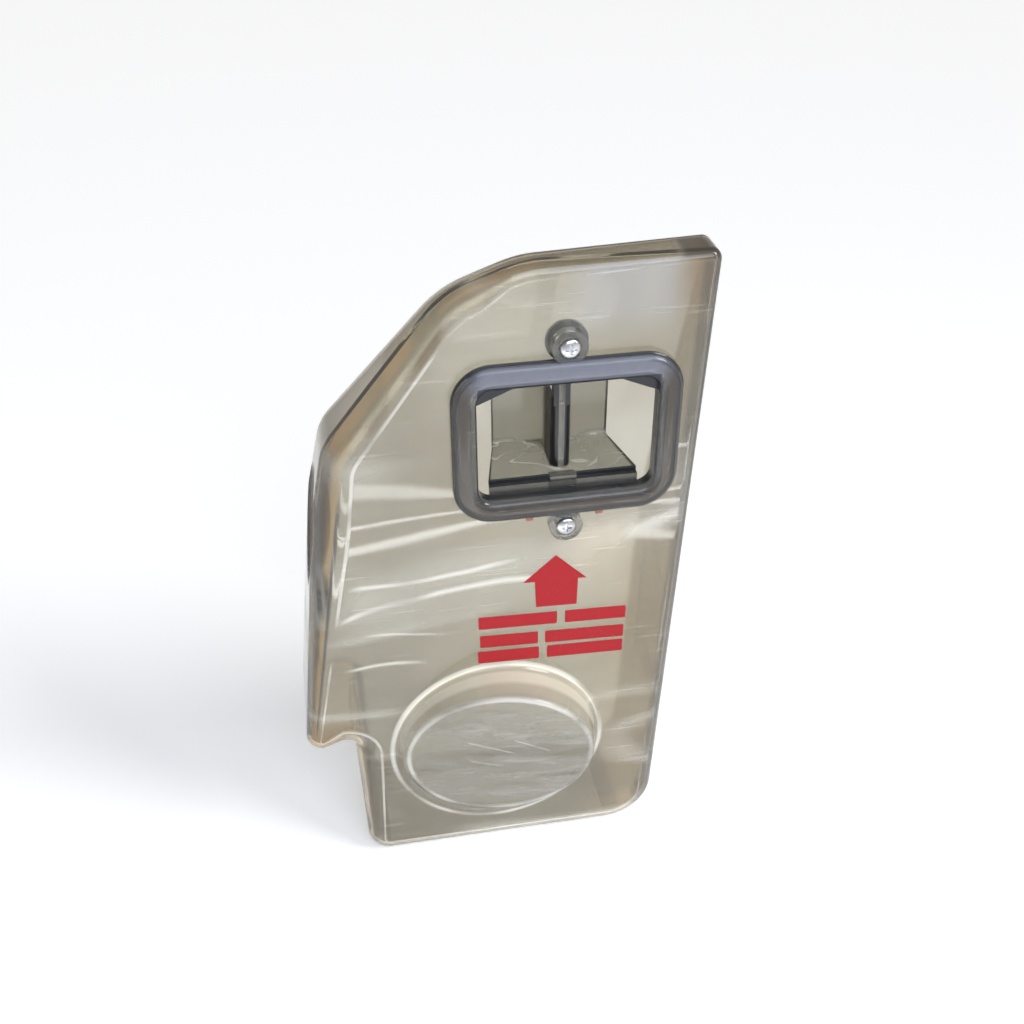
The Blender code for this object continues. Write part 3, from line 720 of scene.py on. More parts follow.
# Painted shade along the left fold and the finger recess's rim: its depth and where it runs
FOLD_DARKNESS = (0.15, 0.45)
FOLD_SHARES = {"grip_lip": 0.45, "fold_line": 0.80}
GRIP_LIP_BEND = -80.0
GRIP_LIP_FACING = 0.46
# Where the painted shade line on the left wall runs
LEFT_SHADE_FOOT = 0.1796
LEFT_SHADE_FOOT_INWARD = 0.0028
LEFT_SHADE_LEAN = 0.119
LEFT_SHADE_RAGGEDNESS = 0.0008

# How the clear tank's marks look, in the order in which they are laid

CLEAR_CLOUD = (0.32, 0.68)
CLEAR_DEEP = (0.615, 0.580, 0.485)
CLEAR_PALE = (0.725, 0.700, 0.615)
CLEAR_TINTS = (
    # mark, share, colour
    ("side_wall", 0.90, (0.370, 0.320, 0.225)),
    ("left_side", 0.80, (0.260, 0.220, 0.155)),
    ("notch_walls", 0.85, (0.740, 0.660, 0.500)),
    ("right_band", 0.80, (0.480, 0.435, 0.355)),
    ("dull_left", 0.90, (0.460, 0.440, 0.390)),
    ("warm_right", 0.60, (0.700, 0.600, 0.455)),
    ("notch_warmth", 0.90, (0.590, 0.460, 0.280)),
    ("amber_corner", 0.90, (0.490, 0.350, 0.210)),
    ("right_edge", 0.80, (0.260, 0.235, 0.180)),
    ("tan_band", 0.80, (0.600, 0.440, 0.280)),
    ("brown_band", 0.90, (0.320, 0.250, 0.155)),
    ("glow", 0.75, (0.620, 0.450, 0.240)),
    ("fold_shade", 1.00, (0.060, 0.050, 0.036)),
)
CLEAR_IOR = 1.49
CLEAR_ROUGHNESS = 0.03
CLEAR_ROUGHNESS_SHARES = {"cloud": 0.03, "worn": 0.15}
FLOW_HEIGHT = 0.0045
HAZE_PALE = (0.88, 0.85, 0.76)
SCUFF_RANGE = (0.50, 0.72)
SCUFF_DARK = (0.46, 0.445, 0.41)
SCUFF_PALE = (0.74, 0.72, 0.64)
# Haze colours: scratches, the right edge, and painted highlights, reflections and shade lines
HAZE_COLOURS = (
    # mark, share, colour
    ("face_scratches", 1.0, (0.92, 0.90, 0.82)),
    ("warm_reflection", 1.0, (0.95, 0.83, 0.66)),
    ("ridge_glow", 1.0, (0.97, 0.86, 0.62)),
    ("sky_reflection", 1.0, (0.82, 0.86, 0.97)),
    ("boss_wall_highlight", 1.0, (0.97, 0.89, 0.72)),
    ("right_edge", 1.0, (0.17, 0.15, 0.115)),
    ("left_shade_line", 1.0, (0.016, 0.014, 0.011)),
    ("fold_shade", 1.0, (0.055, 0.045, 0.032)),
)
HAZE_ROUGHNESS = 0.35
HAZE_EVERYWHERE = 0.03
# Shares of the haze: cloud, wear, scratches, the right edge and the painted shade lines
HAZE_SHARES = {"cloud": 0.05, "worn": 0.30, "scratches": 0.12, "left_shade_line": 0.90, "fold_shade": 0.40,
               "right_edge": 0.30}
# Shares of the pale haze: flow lines and scratches, and the painted highlights and reflections
PALE_SHARES = {"flow_line": 0.20, "reflection_streaks": 0.55, "crease_highlight": 0.45, "face_rim_highlight": 1.0, "foot_rim_highlight": 1.0,
               "warm_reflection": 0.16, "ridge_glow": 0.26, "boss_inner_highlight": 0.30, "boss_outer_highlight": 0.30,
               "sky_reflection": 0.14, "boss_wall_highlight": 0.24, "face_scratches": 0.22, "base_glint": 0.25}


def total(marks, shares):
    """Add up marks, each by its share."""
    return sum(marks[name] * share for name, share in shares.items())


def tank_fields(finish):
    """The distances and grains that the tank's marks are placed by."""
    x, y, z = finish.axes()
    across = x - SHIFT.x
    inward = y - SHIFT.y
    facing = finish.mark("facing")
    right_of_boss = across - BOSS_X
    above_boss = z - BOSS_Z
    from_boss = (right_of_boss * right_of_boss + above_boss * above_boss) ** 0.5
    ripple = finish.grain(26.0, detail=1.0)
    flow = finish.grain(5.0, detail=0.0, distortion=0.9, stretch=(0.45, 1.0, 3.0), turn=(0.0, 13.0, 0.0))
    lip_facing = (z - RECESS_Z) * (z - RECESS_Z) * GRIP_LIP_BEND + GRIP_LIP_FACING
    left_shade_place = (z - LEFT_SHADE_FOOT) * LEFT_SHADE_LEAN + LEFT_SHADE_FOOT_INWARD
    return {
        "across": across,
        "inward": inward,
        "z": z,
        "facing": facing,
        "right_of_boss": right_of_boss,
        "above_boss": above_boss,
        "from_face": from_boss - BOSS_FACE_RADIUS,
        "from_foot": from_boss - BOSS_RADIUS,
        "from_lip": abs(facing - lip_facing),
        "from_left_shade": abs(inward - left_shade_place) + ripple.between(-LEFT_SHADE_RAGGEDNESS, LEFT_SHADE_RAGGEDNESS),
        "cloud": finish.grain(11.0, detail=1.0),
        "ripple": ripple,
        "flow": flow,
        "flow_ridge": flow.ridge(),
        "scuffs": finish.grain(38.0, detail=3.5, roughness=0.75, stretch=(0.40, 1.0, 1.9),
                               turn=(0.0, 6.0, 0.0)),
        "scratch_grain": finish.grain(24.0, detail=1.0, stretch=(1.0, 1.0, 30.0), turn=(0.0, -24.0, 0.0)),
        "swept": finish.grain(16.0, detail=1.5, stretch=(3.0, 1.0, 0.6), turn=(0.0, -50.0, 0.0)),
    }


def reflection_streaks(finish):
    """Painted reflections: the long bright arcs across the front wall."""
    fields = finish.fields
    sway = (fields["cloud"] - 0.5) * STREAK_SWAY + (fields["ripple"] - 0.5) * STREAK_RIPPLE
    found = 0.0
    for middle, bend, slope, height, half_width, left, right, strength in STREAKS:
        beside = fields["across"] - middle
        level = beside * beside * bend + beside * slope + height
        ends = finish.zone(across=(left - STREAK_START, left + STREAK_START,
                                   right - STREAK_TAIL, right + STREAK_TAIL))
        found = found + abs(fields["z"] - level - sway).rising(half_width, 0.0) * ends * strength
    return found * finish.zone(inward=OUTSIDE)


def face_scratches(finish):
    """The three long scratches on the boss's face."""
    fields = finish.fields
    found = 0.0
    for slope, height, left, right in FACE_SCRATCHES:
        above = fields["above_boss"] - fields["right_of_boss"] * slope - height
        ends = finish.zone(right_of_boss=(left, left + SCRATCH_TAPER, right - SCRATCH_TAPER, right))
        found = found + abs(above).rising(*SCRATCH_THICKNESS) * ends
    return found


def tank_marks(finish):
    marks = finish.zones(TANK_MARKS)
    marks["reflection_streaks"] = reflection_streaks(finish)
    marks["face_scratches"] = face_scratches(finish) * marks["on_face"]
    finish.make_uneven(marks, TANK_UNEVEN)
    off_boss = 1.0 - finish.zone(**BOSS_SURROUND)
    left_edge = finish.zone(**LEFT_EDGE)
    upper_slope = finish.zone(**UPPER_SLOPE)
    for names, limit in ((OFF_THE_BOSS, off_boss), (ON_LEFT_EDGE, left_edge), (ON_UPPER_SLOPE, upper_slope)):
        for name in names:
            marks[name] = marks[name] * limit
    # Painted shade along the left fold and the recess's rim
    fold_darkness = finish.fields["ripple"].between(*FOLD_DARKNESS)
    marks["fold_shade"] = marks["fold"] * fold_darkness + total(marks, FOLD_SHARES)
    marks["cloud"] = finish.fields["cloud"]
    return marks


def clear_tank_finish():
    """Clear, slightly yellowed plastic, with a haze that carries its scuffs and scratches, painted
    highlights and reflections, and painted shade lines along its left folds and left wall.
    """
    finish = Finish("clear_tank_plastic")
    finish.fields = tank_fields(finish)
    marks = tank_marks(finish)
    tint = finish.blend(marks["cloud"].rising(*CLEAR_CLOUD), CLEAR_DEEP, CLEAR_PALE)
    normal = finish.bump(finish.fields["flow"] * FLOW_HEIGHT)
    clear = finish.surface(base_color=finish.layered(tint, marks, CLEAR_TINTS),
                           roughness=total(marks, CLEAR_ROUGHNESS_SHARES) + CLEAR_ROUGHNESS,
                           transmission_weight=1.0, ior=CLEAR_IOR, normal=normal)
    scuffed = finish.blend(finish.fields["scuffs"].rising(*SCUFF_RANGE), SCUFF_DARK, SCUFF_PALE)
    haze_colour = finish.blend(marks["worn"], HAZE_PALE, scuffed)
    haze = finish.surface(base_color=finish.layered(haze_colour, marks, HAZE_COLOURS),
                          roughness=HAZE_ROUGHNESS, normal=normal)
    pale = total(marks, PALE_SHARES) * finish.zone(inward=FRONT)
    return finish.hazy(pale + total(marks, HAZE_SHARES) + HAZE_EVERYWHERE, clear, haze)


# Smoked plastic of the frame and the baffle, with ranges that fade as the tank's do

SMOKED_IOR = 1.5
SMOKED_HAZE_ROUGHNESS = 0.3
ON_RIM = (RIM_WIDTH + 0.0006, RIM_WIDTH)
ON_EAR = (RIM_WIDTH, RIM_WIDTH + 0.0010)
FRAME_MARKS = {
    "middle_band": {"from_opening": (0.0026, 0.0042, 0.0078, 0.0094)},
    # painted shade lines along the rim's inner and outer edges and on either side of its brown middle
    "inner_edge": {"from_opening": (0.0014, 0.0004)},
    "in_collar": {"from_opening": (-0.0006, -0.0014)},
    "inner_rim_shade": {"from_opening": (0.0024, 0.0030, 0.0032, 0.0040)},
    "outer_rim_shade": {"from_opening": (0.0086, 0.0092, 0.0096, 0.0102)},
    "outer_edge": {"from_opening": (RIM_WIDTH - 0.0014, RIM_WIDTH - 0.0006)},
    "ear": {"from_opening": ON_EAR},
    "upper_ear": {"from_opening": ON_EAR, "above_middle": (0.0, 0.010)},
    "shade": {"above_opening": (-HAUNCH_HEIGHT - 0.0012, -HAUNCH_HEIGHT, 0.0018, 0.0034),
              "beside_opening": (0.0006, -0.0006)},
    # a painted bluish reflection of a window on the top bar
    "sheen": {"above_opening": (-0.0050, 0.0050), "beside_opening": (0.0120, -0.0040),
              "from_opening": ON_RIM},
    "scratches": {"scratch_grain": (0.68, 0.75)},
}
# How the painted shade lines of the rim add up
FRAME_SHADE_SHARES = {"inner_edge": 1.0, "in_collar": -0.75, "outer_edge": 1.0, "inner_rim_shade": 0.6,
                     "outer_rim_shade": 0.6}
FRAME_LOOK = {
    "deep": (0.42, 0.415, 0.40),
    "pale": (0.55, 0.545, 0.52),
    "tints": (
        # mark, share, colour
        ("middle_band", 0.8, (0.60, 0.52, 0.43)),
        ("rim_edge_shade", 0.8, (0.10, 0.11, 0.12)),
        ("ear", 0.5, (0.80, 0.79, 0.76)),
        ("upper_ear", 0.8, (0.93, 0.92, 0.88)),
        ("shade", 1.0, (0.012, 0.014, 0.026)),
    ),
    "haze": (0.095, 0.098, 0.10),
    "haze_colours": (
        # mark, share, colour
        ("middle_band", 0.8, (0.125, 0.105, 0.082)),
        ("sheen", 0.9, (0.46, 0.485, 0.60)),
        ("upper_ear", 1.0, (0.45, 0.44, 0.40)),
        ("rim_edge_shade", 0.9, (0.030, 0.033, 0.037)),
        ("shade", 1.0, (0.006, 0.007, 0.014)),
    ),
    "haze_everywhere": 0.17,
    "haze_shares": {"fine": 0.08, "rim_edge_shade": 0.25, "shade": 0.75, "ear": -0.10, "sheen": 0.16},
    "roughness": 0.10,
    "roughness_shares": {"fine": 0.10, "scratches": 0.15},
    "heights": {"cloud": 0.00025, "fine": 0.00002, "scratches": -0.00001},
}

BAFFLE_MARKS = {
    # painted shade on the cut edges, the floor's front edge and the divider's sides
    "side_edge": {"beyond_cut": (-0.0014, -0.0006)},
    "front_edge": {"behind_front": (0.0012, 0.0004), "above_floor": (-BAFFLE_WALL - 0.0006, -BAFFLE_WALL)},
    "divider": {"across": (0.0009, 0.0017, 0.0054, 0.0064), "inward": (0.030, 0.023),
                "above_floor": (0.0002, 0.0012)},
    # painted highlights: glints on the floor and a pale line along the foot of the walls
    "floor_glints": {"swirl_ridge": (0.88, 1.0), "above_floor": (-0.0008, -0.0003, 0.0004, 0.0010),
                   "behind_front": (0.0016, 0.0050)},
    "foot_highlight": {"above_floor": (0.0, 0.0006, 0.0016, 0.0030), "inward": (0.012, 0.022),
                  "cloud": (0.30, 0.60)},
    "behind_wall": {"above_opening": (0.006, 0.010)},
}
BAFFLE_UNEVEN = {"front_edge": ("across", (0.0060, 0.0075), 0.65, 1.0)}
BAFFLE_LOOK = {
    "deep": (0.56, 0.55, 0.49),
    "pale": (0.66, 0.65, 0.59),
    "tints": (
        # mark, share, colour
        ("behind_wall", 0.8, (0.88, 0.87, 0.83)),
        ("baffle_shade", 1.0, (0.012, 0.013, 0.018)),
    ),
    "haze": (0.42, 0.40, 0.335),
    "haze_colours": (
        # mark, share, colour
        ("highlight_lines", 1.0, (0.86, 0.83, 0.70)),
        ("baffle_shade", 1.0, (0.006, 0.007, 0.010)),
    ),
    "haze_everywhere": 0.14,
    "haze_shares": {"fine": 0.08, "baffle_shade": 0.75, "highlight_lines": 0.40, "behind_wall": -0.08},
    "roughness": 0.20,
    "roughness_shares": {"fine": 0.10},
    "heights": {"cloud": 0.0006, "fine": 0.00002},
}


def smoked_grain(finish):
    return {"cloud": finish.grain(24.0, detail=1.5, roughness=0.6),
            "fine": finish.grain(160.0, detail=2.0, roughness=0.7)}


def smoked_plastic(finish, marks, look):
    tint = finish.blend(marks["cloud"], look["deep"], look["pale"])
    normal = finish.bump(total(marks, look["heights"]))
    clear = finish.surface(base_color=finish.layered(tint, marks, look["tints"]),
                           roughness=total(marks, look["roughness_shares"]) + look["roughness"],
                           transmission_weight=1.0, ior=SMOKED_IOR, normal=normal)
    haze = finish.surface(base_color=finish.layered(look["haze"], marks, look["haze_colours"]),
                          roughness=SMOKED_HAZE_ROUGHNESS, normal=normal)
    return finish.hazy(total(marks, look["haze_shares"]) + look["haze_everywhere"], clear, haze)


def smoked_frame_finish():
    """The rim has a brown middle and painted shade lines along its edges and beside its middle, and the
    haunches under its top bar lie in painted shade.
    """
    finish = Finish("smoked_frame_plastic")
    x, _, z = finish.axes()
    above_middle = z - SPOUT_Z
    beside_opening = abs(x - SHIFT.x) - OPENING_SIDE
    beyond_x = (beside_opening + OPENING_RADIUS).at_least(0.0)
    beyond_z = (abs(above_middle) - OPENING_HEIGHT / 2.0 + OPENING_RADIUS).at_least(0.0)
    from_opening = (beyond_x * beyond_x + beyond_z * beyond_z) ** 0.5 - OPENING_RADIUS
    scratch_grain = finish.grain(60.0, detail=2.0, stretch=(1.0, 1.0, 14.0), turn=(0.0, 18.0, 0.0))
    finish.fields = {"above_middle": above_middle, "above_opening": z - OPENING_TOP,
                     "beside_opening": beside_opening, "from_opening": from_opening,
                     "scratch_grain": scratch_grain}
    marks = smoked_grain(finish)
    marks.update(finish.zones(FRAME_MARKS))
    marks["rim_edge_shade"] = total(marks, FRAME_SHADE_SHARES) * finish.zone(from_opening=ON_RIM)
    return smoked_plastic(finish, marks, FRAME_LOOK)


def smoked_baffle_finish():
    """The cut edges, the floor's front edge and the divider's sides get painted shade, and painted highlight
    lines run along the floor and the foot of the walls.
    """
    finish = Finish("smoked_baffle_plastic")
    x, y, z = finish.axes()
    across = abs(x - SHIFT.x)
    inward = y - SHIFT.y
    half_front = BAFFLE_FRONT_WIDTH / 2.0
    taper = (BAFFLE_FRONT_WIDTH - BAFFLE_BACK_WIDTH) / 2.0 / half_front
    behind_front = inward - BAFFLE_FLOOR_FRONT
    cut_line = half_front - behind_front * taper
    swirl = finish.grain(38.0, detail=0.0, distortion=1.4, stretch=(1.0, 1.7, 1.0))
    marks = smoked_grain(finish)
    finish.fields = {"across": across, "inward": inward, "behind_front": behind_front,
                     "above_floor": z - BAFFLE_FLOOR_TOP, "above_opening": z - OPENING_TOP,
                     "beyond_cut": across - cut_line, "swirl_ridge": swirl.ridge(),
                     "cloud": marks["cloud"]}
    marks.update(finish.zones(BAFFLE_MARKS))
    finish.make_uneven(marks, BAFFLE_UNEVEN)
    marks["baffle_shade"] = (marks["side_edge"] + marks["front_edge"]).at_least(marks["divider"])
    marks["highlight_lines"] = marks["foot_highlight"] + marks["floor_glints"]
    return smoked_plastic(finish, marks, BAFFLE_LOOK)


# Rubber, zinc and print

RUBBER_DARK = (0.22, 0.165, 0.125)
RUBBER_PALE = (0.33, 0.26, 0.20)
RUBBER_TAB = (0.46, 0.17, 0.12)
RUBBER_TAB_RANGE = (RIM_LOW + 0.0016, RIM_LOW + 0.0004)
RUBBER_ROUGHNESS = (0.55, 0.75)
RUBBER_HEIGHT = 0.00008
ZINC_CLOUD = (0.3, 0.7)
ZINC_DARK = (0.40, 0.40, 0.41)
ZINC_PALE = (0.66, 0.66, 0.67)
ZINC_ROUGHNESS = (0.16, 0.38)
ZINC_HEIGHT = 0.00006
ZINC_FINE_HEIGHT = 0.000006
PRINT_DARK = (0.385, 0.010, 0.015)
PRINT_PALE = (0.43, 0.015, 0.021)
PRINT_SPECK = (0.50, 0.20, 0.17)
PRINT_SPECK_RANGE = (0.66, 0.74)
PRINT_SPECK_SHARE = 0.15
PRINT_ROUGHNESS = (0.50, 0.62)
PRINT_SHINE = 0.3
PRINT_HEIGHT = 0.0001


def red_rubber_finish():
    """The hidden ring has gone brown with age, and only its two tabs are still pinkish."""
    finish = Finish("red_rubber")
    on_tab = finish.axes()[2].rising(*RUBBER_TAB_RANGE)
    cloud = finish.grain(120.0, detail=4.0, roughness=0.7)
    colour = finish.blend(on_tab, finish.blend(cloud, RUBBER_DARK, RUBBER_PALE), RUBBER_TAB)
    return finish.done(finish.surface(base_color=colour, roughness=cloud.between(*RUBBER_ROUGHNESS),
                                      normal=finish.bump(cloud * RUBBER_HEIGHT)))


def zinc_finish():
    finish = Finish("zinc_plating")
    cloud = finish.grain(260.0, detail=3.0, roughness=0.6)
    fine = finish.grain(1500.0, detail=2.0)
    colour = finish.blend(cloud.rising(*ZINC_CLOUD), ZINC_DARK, ZINC_PALE)
    normal = finish.bump(cloud * ZINC_HEIGHT + fine * ZINC_FINE_HEIGHT)
    return finish.done(finish.surface(base_color=colour, metallic=1.0,
                                      roughness=cloud.between(*ZINC_ROUGHNESS), normal=normal))


def red_print_finish():
    finish = Finish("red_print")
    cloud = finish.grain(40.0, detail=3.0)
    specks = finish.grain(700.0, detail=2.0).rising(*PRINT_SPECK_RANGE)
    colour = finish.blend(cloud, PRINT_DARK, PRINT_PALE)
    colour = finish.blend(specks * PRINT_SPECK_SHARE, colour, PRINT_SPECK)
    return finish.done(finish.surface(base_color=colour, roughness=cloud.between(*PRINT_ROUGHNESS),
                                      specular_ior_level=PRINT_SHINE,
                                      normal=finish.bump(cloud * PRINT_HEIGHT)))


# Pieces

def mark_facing(made):
    """Keep on each face corner how squarely the surface faces the front or the back."""
    mesh = made.data
    facing = [abs(normal.vector.y) for normal in mesh.corner_normals]
    for polygon in mesh.polygons:
        if abs(polygon.normal.y) > FLAT_FACING:
            for corner in polygon.loop_indices:
                facing[corner] = 1.0
    marks = mesh.attributes.new("facing", "FLOAT", "CORNER")
    marks.data.foreach_set("value", facing)


def screw_places():
    reach = OPENING_HEIGHT / 2.0 + RIM_WIDTH + SCREW_BEYOND_RIM
    return {"upper": SPOUT_Z + reach, "lower": SPOUT_Z - reach}


def frame_back():
    return -(TOUCH_GAP + SEAL_THICKNESS + TOUCH_GAP)


def make_tank(material):
    hollow = draft("hollow", tank_form(WALL))
    carve(hollow, boss_form(WALL), "UNION")
    carve(hollow, recess_form(WALL))
    shell = draft("tank_shell_clear", tank_form(0.0))
    carve(shell, boss_form(0.0), "UNION")
    carve(shell, recess_form(0.0))
    carve(shell, to_mesh_data(hollow))
    port = [Vector((x, -CUT_MARGIN, z))
            for x, z, _, _, _, _ in spout_rectangle(COLLAR_WALL + PORT_CLEARANCE)]
    carve(shell, plate(port, Vector((0.0, WALL + 2.0 * CUT_MARGIN, 0.0))))
    for z in screw_places().values():
        carve(shell, bar_along_y(SCREW_SHANK_RADIUS + HOLE_CLEARANCE, -CUT_MARGIN, WALL + CUT_MARGIN,
                                 z))
    finished(shell, material, ("tank_shell",))
    mark_facing(shell)


def make_spout_frame(material):
    back = frame_back()
    shelf = back - RIM_EDGE_HEIGHT
    crown = back - RIM_HEIGHT
    profile = [(0.0, back), (0.0, shelf + RIM_EDGE_CHAMFER), (RIM_EDGE_CHAMFER, shelf),
               (RIM_EDGE_STEP, shelf)]
    middle = (RIM_WIDTH + RIM_EDGE_STEP) / 2.0
    half = (RIM_WIDTH - RIM_EDGE_STEP) / 2.0
    for step in range(1, RIM_FACETS):
        angle = math.pi * step / RIM_FACETS
        rise = (shelf - crown) * math.sin(angle) ** RIM_FULLNESS
        profile.append((middle - half * math.cos(angle), shelf - rise))
    profile += [(RIM_WIDTH, shelf), (RIM_WIDTH, COLLAR_DEPTH),
                (RIM_WIDTH - COLLAR_WALL, COLLAR_DEPTH), (RIM_WIDTH - COLLAR_WALL, back)]
    made = draft("spout_frame_smoked", swept_frame(spout_rectangle(RIM_WIDTH), profile))
    overlap = COLLAR_WALL / 2.0
    outer = OPENING_SIDE + overlap
    inner = OPENING_SIDE - HAUNCH_WIDTH
    corner = rounded_path([(outer, OPENING_TOP - HAUNCH_HEIGHT, 0.0, 0.0),
                           (outer, OPENING_TOP + overlap, OPENING_RADIUS + overlap, 0.0),
                           (inner, OPENING_TOP + overlap, 0.0, 0.0)], closed=False)
    gusset = [(x, z) for x, z, _, _, _, _ in corner] + [(inner, OPENING_TOP - JOIN_STEP)]
    for side in (-1.0, 1.0):
        outline = [Vector((side * x, back, z)) for x, z in gusset]
        carve(made, plate(outline, Vector((0.0, COLLAR_DEPTH - JOIN_STEP - back, 0.0))), "UNION")
    lip_half = BAFFLE_FRONT_WIDTH / 2.0
    carve(made, block((-lip_half, lip_half), (COLLAR_DEPTH - JOIN_STEP, BAFFLE_FLOOR_FRONT - TOUCH_GAP),
                      (OPENING_LOW - overlap, BAFFLE_FLOOR_LOW)), "UNION")
    ear_front = -TOUCH_GAP - EAR_THICKNESS
    rim_half = OPENING_HEIGHT / 2.0 + RIM_WIDTH
    for z in screw_places().values():
        ear = draft("ear", bar_along_y(EAR_RADIUS, ear_front, -TOUCH_GAP, z))
        carve(ear, block((-EAR_RADIUS * 2.0, EAR_RADIUS * 2.0), (back, CUT_MARGIN),
                         (SPOUT_Z - rim_half - TOUCH_GAP, SPOUT_Z + rim_half + TOUCH_GAP)))
        carve(made, to_mesh_data(ear), "UNION")
        carve(made, bar_along_y(SCREW_HEAD_RADIUS + EAR_SEAT_CLEARANCE, ear_front - CUT_MARGIN,
                                ear_front + EAR_SEAT_DEPTH, z))
        carve(made, bar_along_y(SCREW_SHANK_RADIUS + HOLE_CLEARANCE, ear_front - CUT_MARGIN, CUT_MARGIN,
                                z))
    finished(made, material, ("spout_frame",), EDGE_ROUNDING)


def make_seal(material):
    front = -TOUCH_GAP - SEAL_THICKNESS
    profile = [(SEAL_INSET, -TOUCH_GAP), (SEAL_INSET, front),
               (SEAL_INSET + SEAL_WIDTH, front), (SEAL_INSET + SEAL_WIDTH, -TOUCH_GAP)]
    made = draft("spout_seal_red", swept_frame(spout_rectangle(RIM_WIDTH), profile))
    for side in (-1.0, 1.0):
        middle = side * SEAL_TAB_SPACING / 2.0
        carve(made, block((middle - SEAL_TAB_WIDTH / 2.0, middle + SEAL_TAB_WIDTH / 2.0),
                          (front, -TOUCH_GAP),
                          (RIM_LOW - SEAL_TAB_LENGTH, RIM_LOW + SEAL_INSET + SEAL_WIDTH / 2.0)), "UNION")
    finished(made, material, ("spout_seal",), EDGE_ROUNDING)


def make_baffle(material):
    half_back = BAFFLE_BACK_WIDTH / 2.0
    half_front = BAFFLE_FRONT_WIDTH / 2.0
    half_divider = DIVIDER_WIDTH / 2.0
    nose = half_divider - JOIN_STEP
    wall_top = OPENING_TOP - BAFFLE_TOP_DROP
    back = tank_depth_at(wall_top) - WALL - BAFFLE_REAR_GAP - BAFFLE_WALL
    walk = rounded_path([(-half_back, back, 0.0, 0.0),
                         (-half_divider, back, LEFT_SWEEP_RADIUS, 0.0),
                         (-half_divider, DIVIDER_FRONT_Y, nose, 0.0),
                         (half_divider, DIVIDER_FRONT_Y, nose, 0.0),
                         (half_divider, back, RIGHT_SWEEP_RADIUS, 0.0),
                         (half_back, back, 0.0, 0.0)], closed=False)
    front_side = [Vector((x, y, BAFFLE_FLOOR_LOW)) for x, y, _, _, _, _ in walk]
    rear_side = [Vector((x - out_x * BAFFLE_WALL, y - out_y * BAFFLE_WALL, BAFFLE_FLOOR_LOW))
                 for x, y, out_x, out_y, _, _ in walk]
    made = draft("spout_baffle_smoked", plate(front_side + rear_side[::-1],
                                              Vector((0.0, 0.0, wall_top - BAFFLE_FLOOR_LOW))))
    floor_back = back + BAFFLE_WALL / 2.0
    floor_plan = [Vector((x, y, BAFFLE_FLOOR_LOW - JOIN_STEP))
                  for x, y in ((-half_front, BAFFLE_FLOOR_FRONT), (half_front, BAFFLE_FLOOR_FRONT),
                               (half_back - JOIN_STEP, floor_back), (JOIN_STEP - half_back, floor_back))]
    carve(made, plate(floor_plan, Vector((0.0, 0.0, BAFFLE_WALL + JOIN_STEP))), "UNION")
    inside = WALL + TOUCH_GAP
    strip = half_divider - WEB_INSET
    places = screw_places()
    carve(made, block((-strip, strip), (DIVIDER_FRONT_Y + JOIN_STEP, inside + POST_LENGTH - JOIN_STEP),
                      (wall_top - WEB_LAP, places["upper"])), "UNION")
    carve(made, block((-TONGUE_WIDTH / 2.0, TONGUE_WIDTH / 2.0), (inside, inside + TONGUE_DEPTH),
                      (places["lower"], BAFFLE_FLOOR_TOP - JOIN_STEP)), "UNION")
    post_end = inside + POST_LENGTH
    for place, z in places.items():
        carve(made, bar_along_y(POST_RADIUS, inside + JOIN_STEP, post_end, z), "UNION")
        if place == "upper":
            carve(made, bar_along_y(PAD_RADIUS, inside, inside + PAD_THICKNESS, z, PAD_FACETS), "UNION")
        carve(made, bar_along_y(SCREW_SHANK_RADIUS + HOLE_CLEARANCE, inside - CUT_MARGIN,
                                post_end - POST_FLOOR, z))
    finished(made, material, ("spout_baffle",), EDGE_ROUNDING)


def make_screws(material):
    seat = -TOUCH_GAP - EAR_THICKNESS + EAR_SEAT_DEPTH - TOUCH_GAP
    profile = [(0.0, seat + SCREW_LENGTH), (SCREW_TIP_RADIUS, seat + SCREW_LENGTH),
               (SCREW_SHANK_RADIUS, seat + SCREW_LENGTH - SCREW_TIP), (SCREW_SHANK_RADIUS, seat),
               (SCREW_HEAD_RADIUS, seat), (SCREW_HEAD_RADIUS, seat - SCREW_HEAD_SIDE)]
    for step in range(1, DOME_FACETS + 1):
        angle = math.pi / 2.0 * step / DOME_FACETS
        rise = SCREW_HEAD_SIDE + (SCREW_HEAD_HEIGHT - SCREW_HEAD_SIDE) * math.sin(angle)
        profile.append((SCREW_HEAD_RADIUS * math.cos(angle), seat - rise))
    for place, z in screw_places().items():
        mesh_data = bmesh.new()
        points = [mesh_data.verts.new((radius, y, z)) for radius, y in profile]
        edges = [mesh_data.edges.new(pair) for pair in zip(points, points[1:])]
        bmesh.ops.spin(mesh_data, geom=points + edges, cent=(0.0, 0.0, z), axis=(0.0, 1.0, 0.0),
                       angle=2.0 * math.pi, steps=ROUND_FACETS, use_merge=True)
        bmesh.ops.remove_doubles(mesh_data, verts=mesh_data.verts, dist=SAME_POINT)
        bmesh.ops.recalc_face_normals(mesh_data, faces=mesh_data.faces)
        made = draft(f"{place}_screw_zinc", mesh_data)
        crown = seat - SCREW_HEAD_HEIGHT
        for half_x, half_z in ((CROSS_SPAN / 2.0, CROSS_WIDTH / 2.0), (CROSS_WIDTH / 2.0, CROSS_SPAN / 2.0)):
            carve(made, block((-half_x, half_x), (crown - CUT_MARGIN, crown + CROSS_DEPTH),
                              (z - half_z, z + half_z)))
        finished(made, material, (f"{place}_screw",), EDGE_ROUNDING / 2.0)


